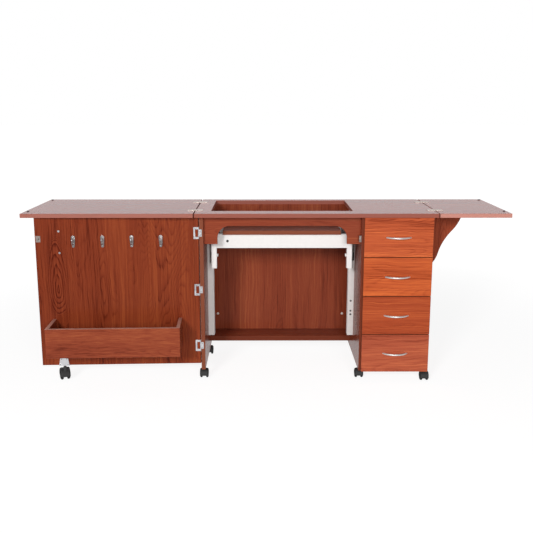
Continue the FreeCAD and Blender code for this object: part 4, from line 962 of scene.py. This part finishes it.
class SEWING_OT_casters(bpy.types.Operator):
    """Model the twin-wheel casters: hood, web, collar, stem and pair of wheels, and the door's bracket"""

    bl_idname = "sewing_table.casters"
    bl_label = "Casters"

    # Share of the wheel's radius and depth under its outer face
    WHEEL_DISH = ((0.72, 0), (0.68, 0.0012), (0.36, 0.0020), (0.32, 0.0006), (0.16, 0.0002), (0, 0.0002))
    QUARTER_TURN = [math.radians(18 * step) for step in range(6)]
    # Radius of the axle and how far it goes into each wheel
    AXLE = (0.0028, 0.001)
    # The hood: turns and radius of its round edge, reach past the wheels, and its way over the top of them
    HOOD_TURN = [math.radians(20 + 14 * step) for step in range(6)]
    HOOD_SOFT = 0.0065
    HOOD_MARGIN = 0.0005
    HOOD_START = math.radians(-15)
    HOOD_SWEEP = math.radians(215)
    HOOD_STEPS = 45
    # The web: play beside each wheel, inner radius, depth in the hood, and its disc as a share of the wheel
    WEB_PLAY = 0.0006
    WEB_CORE = 0.0025
    WEB_SEAT = 0.0004
    DISC = 0.50
    DISC_SOFT = 0.001
    # Stem and neck: length and radius of the stem, share of the hood's radius where the neck starts
    STEM_LENGTH = 0.030
    STEM = 0.0040
    NECK_PLACE = 0.6
    NECK = 0.0090
    # Radius of the collar and depth under the seat of the stem
    COLLAR = ((0.0082, 0.010), (0.0066, 0.007), (0.0060, 0.004), (0.0060, 0.0006), (0.0055, 0))
    # The door's bracket: its lower and upper screws from the middle, and all of them from its ends
    BRACKET_SPREADS = (0.0175, 0.0120)
    BRACKET_MARGIN = 0.0065
    BRACKET_SCREW_HEIGHT = 0.0010

    def execute(self, context):
        fittings = context.scene.sewing_fittings
        for name in CASTERS:
            spin = JOINTS[f"{name}_wheel_spin"]
            centre = Vector(spin["pos_m"])
            axle = Vector(spin["axis"]).normalized()
            across = along(axle, centre)
            half = max(hi.z for lo, hi in solids(f"{name}_caster_wheels", across.inverted()))
            self.mount_wheels(name, across, centre.z, half, fittings)
            self.mount_housing(name, centre, axle, half, fittings)
        self.mount_bracket(fittings)
        return {"FINISHED"}

    def mount_wheels(self, name, across, radius, half, fittings):
        """Two wheels with round shoulders, dished outer faces and hubs, on one axle."""
        inner = fittings.wheel_gap / 2
        soft = fittings.wheel_round * radius
        bead = fittings.wheel_bead * radius
        profile = [(0, inner), (radius - bead, inner)]
        profile += [(radius - bead + bead * math.sin(turn), inner + bead * (1 - math.cos(turn)))
                    for turn in self.QUARTER_TURN[1:]]
        profile += [(radius - soft + soft * math.cos(turn), half - soft * (1 - math.sin(turn)))
                    for turn in self.QUARTER_TURN[:-1]]
        profile += [(out * radius, half - depth) for out, depth in self.WHEEL_DISH]
        bm = bmesh.new()
        for side in (1, -1):
            turned(bm, [(distance, side * place) for distance, place in profile], across, steps=44)
        thick, seat = self.AXLE
        end = inner + seat
        turned(bm, ((0, -end), (thick, -end), (thick, end), (0, end)), across, steps=16)
        make_piece(f"{name}_wheel_pair", bm, f"{name}_wheels", ("tyre",),
                   (f"{name}_caster_wheels",))

    def mount_housing(self, name, centre, axle, half, fittings):
        """A round-edged hood over the wheels, a web between them, and a collar with its stem."""
        radius = centre.z
        inside = radius + fittings.hood_gap
        outside = inside + fittings.hood_wall
        soft = self.HOOD_SOFT
        shoulder = half + self.HOOD_MARGIN - soft
        bm = bmesh.new()
        rim = []
        for bow, turns in ((soft - fittings.hood_wall, reversed(self.HOOD_TURN)), (soft, self.HOOD_TURN)):
            rim += [(outside - soft + bow * math.sin(turn), -shoulder - bow * math.cos(turn))
                    for turn in turns]
        self.spin_hood(bm, rim + [(distance, -place) for distance, place in reversed(rim)], centre, axle)
        web = fittings.wheel_gap / 2 - self.WEB_PLAY
        core = self.WEB_CORE
        edge = inside + self.WEB_SEAT
        self.spin_hood(bm, ((core, -web), (edge, -web), (edge, web), (core, web)), centre, axle)
        disc = self.DISC * radius
        flat = disc - self.DISC_SOFT
        side = web - self.DISC_SOFT
        turned(bm, ((0, -web), (flat, -web), (disc, -side), (disc, side), (flat, web), (0, web)),
               along(axle, centre), steps=36)
        pivot = Vector(JOINTS[f"{name}_caster_swivel"]["pos_m"])
        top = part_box(f"{name}_caster_housing")[1].z
        seat = top - self.STEM_LENGTH
        neck = centre.z + self.NECK_PLACE * outside
        collar = [(thick, seat - depth) for thick, depth in self.COLLAR]
        stem = [(self.STEM, seat), (self.STEM, top), (0, top)]
        turned(bm, [(0, neck), (self.NECK, neck), *collar, *stem], Matrix.Translation((pivot.x, pivot.y, 0)))
        make_piece(f"{name}_housing_shell", bm, f"{name}_caster", ("black_plastic",),
                   (f"{name}_caster_housing",))

    def spin_hood(self, bm, profile, centre, axle):
        """A closed profile of (radius, place along the axle), carried over the top of the wheels."""
        front = axle.cross(Z_AXIS).normalized()
        ray = front * math.cos(self.HOOD_START) + Z_AXIS * math.sin(self.HOOD_START)
        verts = [bm.verts.new(centre + ray * distance + axle * place) for distance, place in profile]
        edges = [bm.edges.new(pair) for pair in zip(verts, verts[1:] + verts[:1])]
        bmesh.ops.spin(bm, geom=verts + edges, cent=centre, axis=front.cross(Z_AXIS), angle=self.HOOD_SWEEP,
                       steps=self.HOOD_STEPS)
        close_holes(bm)

    def mount_bracket(self, fittings):
        """Finish the door's caster bracket and screw its four corners."""
        coat_node("door_caster_bracket", finish_of("zinc"))
        lo, hi = door_solids("door_caster_bracket")[0]
        bm = bmesh.new()
        middle = (lo.x + hi.x) / 2
        heights = (lo.z + self.BRACKET_MARGIN, hi.z - self.BRACKET_MARGIN)
        for spread, height in zip(self.BRACKET_SPREADS, heights):
            for side in (1, -1):
                place = DOOR_FRAME @ Vector((middle + side * spread, lo.y, height))
                screw_head(bm, place, -DOOR_DEPTH, fittings.bracket_screw, self.BRACKET_SCREW_HEIGHT)
        make_piece("door_bracket_screws", bm, "door", SCREW_FINISH)


class SEWING_OT_trim(bpy.types.Operator):
    """Model the leaves' bumpers, the cover caps, a dark strip of painted shade in the door's hinge gap, and
    pale bands of painted highlight on its pocket's upper edges
    """

    bl_idname = "sewing_table.trim"
    # The dust strip in this label is a dark strip of painted shade in the door's hinge gap; the bands are
    # painted highlights
    bl_label = "Bumpers, caps, dust strip and bands"

    # Shares of a dome's radius and height
    DOME = ((0, 0), (1, 0), (0.985, 0.30), (0.90, 0.62), (0.70, 0.88), (0.40, 0.98), (0, 1))
    # Thickness and depth of the dark strip of painted shade in the door's hinge gap
    SHADE_STRIP = (0.0014, 0.013)
    SHADE_STRIP_SOFT = 0.0004
    # Thickness of a pale band of painted highlight and how far it keeps from the board's corners
    HIGHLIGHT_BAND = 0.0005
    HIGHLIGHT_MARGIN = 0.0002
    HIGHLIGHT_SOFT = 0.0001

    def execute(self, context):
        bm = bmesh.new()
        for lo, hi in solids("cover_caps"):
            middle = (lo + hi) / 2
            self.dome(bm, Vector((middle.x, hi.y, middle.z)), -Y_AXIS, (hi.x - lo.x) / 2, hi.y - lo.y)
        make_piece("domed_cover_caps", bm, "cabinet", ("pale_plastic",), ("cover_caps",))
        for side in ("left", "right"):
            bm = bmesh.new()
            for lo, hi in solids(f"{side}_leaf_bumpers"):
                middle = (lo + hi) / 2
                self.dome(bm, Vector((middle.x, middle.y, lo.z)), Z_AXIS, (hi.x - lo.x) / 2, hi.z - lo.z)
            make_piece(f"{side}_domed_bumpers", bm, f"{side}_leaf", ("rubber",),
                       (f"{side}_leaf_bumpers",))
        # Painted shade: a thin black strip along the door's hinge edge darkens the gap beside it
        lo, hi = door_solids("door_panel")[0]
        thick, deep = self.SHADE_STRIP
        bm = bmesh.new()
        block(bm, (hi.x, hi.y - deep, lo.z), (hi.x + thick, hi.y, hi.z), DOOR_FRAME, self.SHADE_STRIP_SOFT)
        make_piece("door_gap_shade_strip", bm, "door", ("rubber",))
        self.paint_pocket_highlights()
        return {"FINISHED"}

    def paint_pocket_highlights(self):
        """Pale bands of painted highlight on the upper edges of the pocket's front and ends."""
        front, tray = sorted(door_solids("door_pocket"), key=lambda box: box[0].y)
        board = front[1].y - front[0].y
        low = front[1].z
        high = low + self.HIGHLIGHT_BAND
        margin = self.HIGHLIGHT_MARGIN
        bm = bmesh.new()
        for left, right, (lo, hi) in ((front[0].x, front[1].x, front), (tray[0].x, tray[0].x + board, tray),
                                      (tray[1].x - board, tray[1].x, tray)):
            block(bm, (left + margin, lo.y + margin, low), (right - margin, hi.y - margin, high), DOOR_FRAME,
                  self.HIGHLIGHT_SOFT)
        # The pocket's rim gets a painted highlight
        make_piece("pocket_edge_highlights", bm, "door", ("rim_highlight",))

    def dome(self, bm, foot, up, radius, height):
        """A low dome on a face."""
        turned(bm, [(out * radius, rise * height) for out, rise in self.DOME], along(up, foot))


class SEWING_OT_stage(bpy.types.Operator):
    """Set the floor, the light and the camera"""

    bl_idname = "sewing_table.stage"
    bl_label = "Studio"

    LAMP_SIZE = 1.6
    KEY_PLACE = (-2.8, -8.0, 3.4)
    KEY_AIM = (0.0, 0.0, 0.40)
    FILL_PLACE = (0.9, -5.6, 1.7)
    FILL_AIM = (0.2, 0.0, 0.40)
    # Width of the camera's sensor in millimetres, and half the floor's width in metres
    SENSOR = 36
    FLOOR_REACH = 40
    LIT_FLOOR = (0.32, 0.32, 0.32, 1)
    WHITE = (1, 1, 1, 1)
    # Distance from the table over which the floor's glow goes from its first value to its second
    FLOOR_GLOW = (1.2, 4.0, 0.86, 1.0)
    # Depths in the room where a mirror sees the least and the full light, and the least share
    FLOOR_DIM = (-2.2, -0.6, 0.15)
    SKY_DIM = (-0.40, 0.25, 0.22)
    # Height over which the sky's light goes from its first share to its second
    SKY_FALL = (0.1, 0.8, 1.3, 0.5)

    def execute(self, context):
        scene = context.scene
        scene.view_settings.view_transform = "Standard"
        studio = scene.sewing_studio
        self.lay_floor(studio)
        self.light_sky(scene, studio)
        self.hang_lamp("key_lamp", studio.key, self.KEY_PLACE, self.KEY_AIM)
        self.hang_lamp("fill_lamp", studio.fill, self.FILL_PLACE, self.FILL_AIM)
        view = bpy.data.cameras.new("camera")
        view.sensor_width = self.SENSOR
        view.lens = studio.lens
        camera = bpy.data.objects.new("camera", view)
        camera.location = studio.camera
        camera.rotation_euler = studio.turn
        scene.collection.objects.link(camera)
        scene.camera = camera
        return {"FINISHED"}

    def seen_directly(self, tree):
        """Masks of the rays from the camera, a mirror or glass, and of those from a mirror alone."""
        path = add_node(tree, "LightPath").outputs
        seen = Number(path["Is Camera Ray"]).calc("MAXIMUM", path["Is Glossy Ray"])
        return seen.calc("MAXIMUM", path["Is Transmission Ray"]), Number(path["Is Glossy Ray"])

    def look(self, tree, mirrored, place, low, high, front):
        """Strength 1, but dimmer in mirrors towards the front of the room, where a studio is dark."""
        depth = Number(add_node(tree, "SeparateXYZ", {0: place}).outputs["Y"])
        return mirrored * depth.remap(low, high, front - 1.0, 0.0) + 1.0

    def lay_floor(self, studio):
        """A wide pale floor that reads white and keeps the table's shadow."""
        bm = bmesh.new()
        bmesh.ops.create_grid(bm, x_segments=1, y_segments=1, size=self.FLOOR_REACH)
        mesh = bpy.data.meshes.new("floor")
        bm.to_mesh(mesh)
        bm.free()
        material = bpy.data.materials.new("floor_paper")
        material.use_nodes = True
        tree = material.node_tree
        tree.nodes.clear()
        place = add_node(tree, "TexCoord").outputs["Object"]
        seen, mirrored = self.seen_directly(tree)
        matt = add_node(tree, "BsdfDiffuse", {"Color": (*studio.floor, 1)})
        half = add_node(tree, "BsdfDiffuse", {"Color": self.LIT_FLOOR})
        far = Number(vector_calc(tree, "LENGTH", place)["Value"])
        glow = far.remap(*self.FLOOR_GLOW) * self.look(tree, mirrored, place, *self.FLOOR_DIM)
        glowing = add_node(tree, "Emission", {"Color": self.WHITE, "Strength": glow})
        bright = add_node(tree, "AddShader", {0: half.outputs[0], 1: glowing.outputs[0]})
        paper = add_node(tree, "MixShader", {0: seen, 1: matt.outputs[0], 2: bright.outputs[0]})
        add_node(tree, "OutputMaterial", {"Surface": paper.outputs[0]})
        mesh.materials.append(material)
        floor = bpy.data.objects.new("floor", mesh)
        bpy.context.scene.collection.objects.link(floor)

    def light_sky(self, scene, studio):
        """A sky that looks white and lights the table at a plain level, less from straight above."""
        world = bpy.data.worlds.new("studio_sky")
        world.use_nodes = True
        tree = world.node_tree
        tree.nodes.clear()
        seen, mirrored = self.seen_directly(tree)
        direction = add_node(tree, "TexCoord").outputs["Generated"]
        white = self.look(tree, mirrored, direction, *self.SKY_DIM)
        height = Number(add_node(tree, "SeparateXYZ", {0: direction}).outputs["Z"])
        strength = mix_numbers(tree, seen, height.remap(*self.SKY_FALL) * studio.sky, white)
        sky = add_node(tree, "Background", {"Color": self.WHITE, "Strength": strength})
        add_node(tree, "OutputWorld", {"Surface": sky.outputs[0]})
        scene.world = world

    def hang_lamp(self, name, watts, place, aim):
        """A square soft lamp that points at a place."""
        lamp = bpy.data.lights.new(name, "AREA")
        lamp.energy = watts
        lamp.size = self.LAMP_SIZE
        hung = bpy.data.objects.new(name, lamp)
        hung.location = place
        hung.rotation_euler = (Vector(aim) - Vector(place)).to_track_quat("-Z", "Y").to_euler()
        hung.visible_camera = False
        bpy.context.scene.collection.objects.link(hung)


OPERATORS = (
    SEWING_OT_boards,
    SEWING_OT_drawer_boxes,
    SEWING_OT_hinges,
    SEWING_OT_handles,
    SEWING_OT_coat_hooks,
    SEWING_OT_catch,
    SEWING_OT_lift,
    SEWING_OT_casters,
    SEWING_OT_trim,
    SEWING_OT_stage,
)


class SEWING_PT_panel(bpy.types.Panel):
    """The table's pieces and their settings in the sidebar"""

    bl_label = "Sewing Table"
    bl_idname = "SEWING_PT_panel"
    bl_space_type = "VIEW_3D"
    bl_region_type = "UI"
    bl_category = "Sewing Table"

    def draw(self, context):
        for operator in OPERATORS:
            self.layout.operator(operator.bl_idname)
        for settings in (context.scene.sewing_laminate, context.scene.sewing_fittings,
                         context.scene.sewing_studio):
            box = self.layout.box()
            for name in settings.__annotations__:
                box.prop(settings, name)


CLASSES = (LaminateSettings, FittingSettings, StudioSettings, *OPERATORS, SEWING_PT_panel)


def register():
    """Add the classes and the table's settings."""
    for item in CLASSES:
        bpy.utils.register_class(item)
    bpy.types.Scene.sewing_laminate = PointerProperty(type=LaminateSettings)
    bpy.types.Scene.sewing_fittings = PointerProperty(type=FittingSettings)
    bpy.types.Scene.sewing_studio = PointerProperty(type=StudioSettings)


def unregister():
    """Remove the settings and the classes."""
    del bpy.types.Scene.sewing_studio
    del bpy.types.Scene.sewing_fittings
    del bpy.types.Scene.sewing_laminate
    for item in reversed(CLASSES):
        bpy.utils.unregister_class(item)


def main():
    """Dress the table and set the studio."""
    register()
    bpy.ops.sewing_table.boards()
    bpy.ops.sewing_table.drawer_boxes()
    bpy.ops.sewing_table.hinges()
    bpy.ops.sewing_table.handles()
    bpy.ops.sewing_table.coat_hooks()
    bpy.ops.sewing_table.catch()
    bpy.ops.sewing_table.lift()
    bpy.ops.sewing_table.casters()
    bpy.ops.sewing_table.trim()
    bpy.ops.sewing_table.stage()


if __name__ == "__main__":
    main()
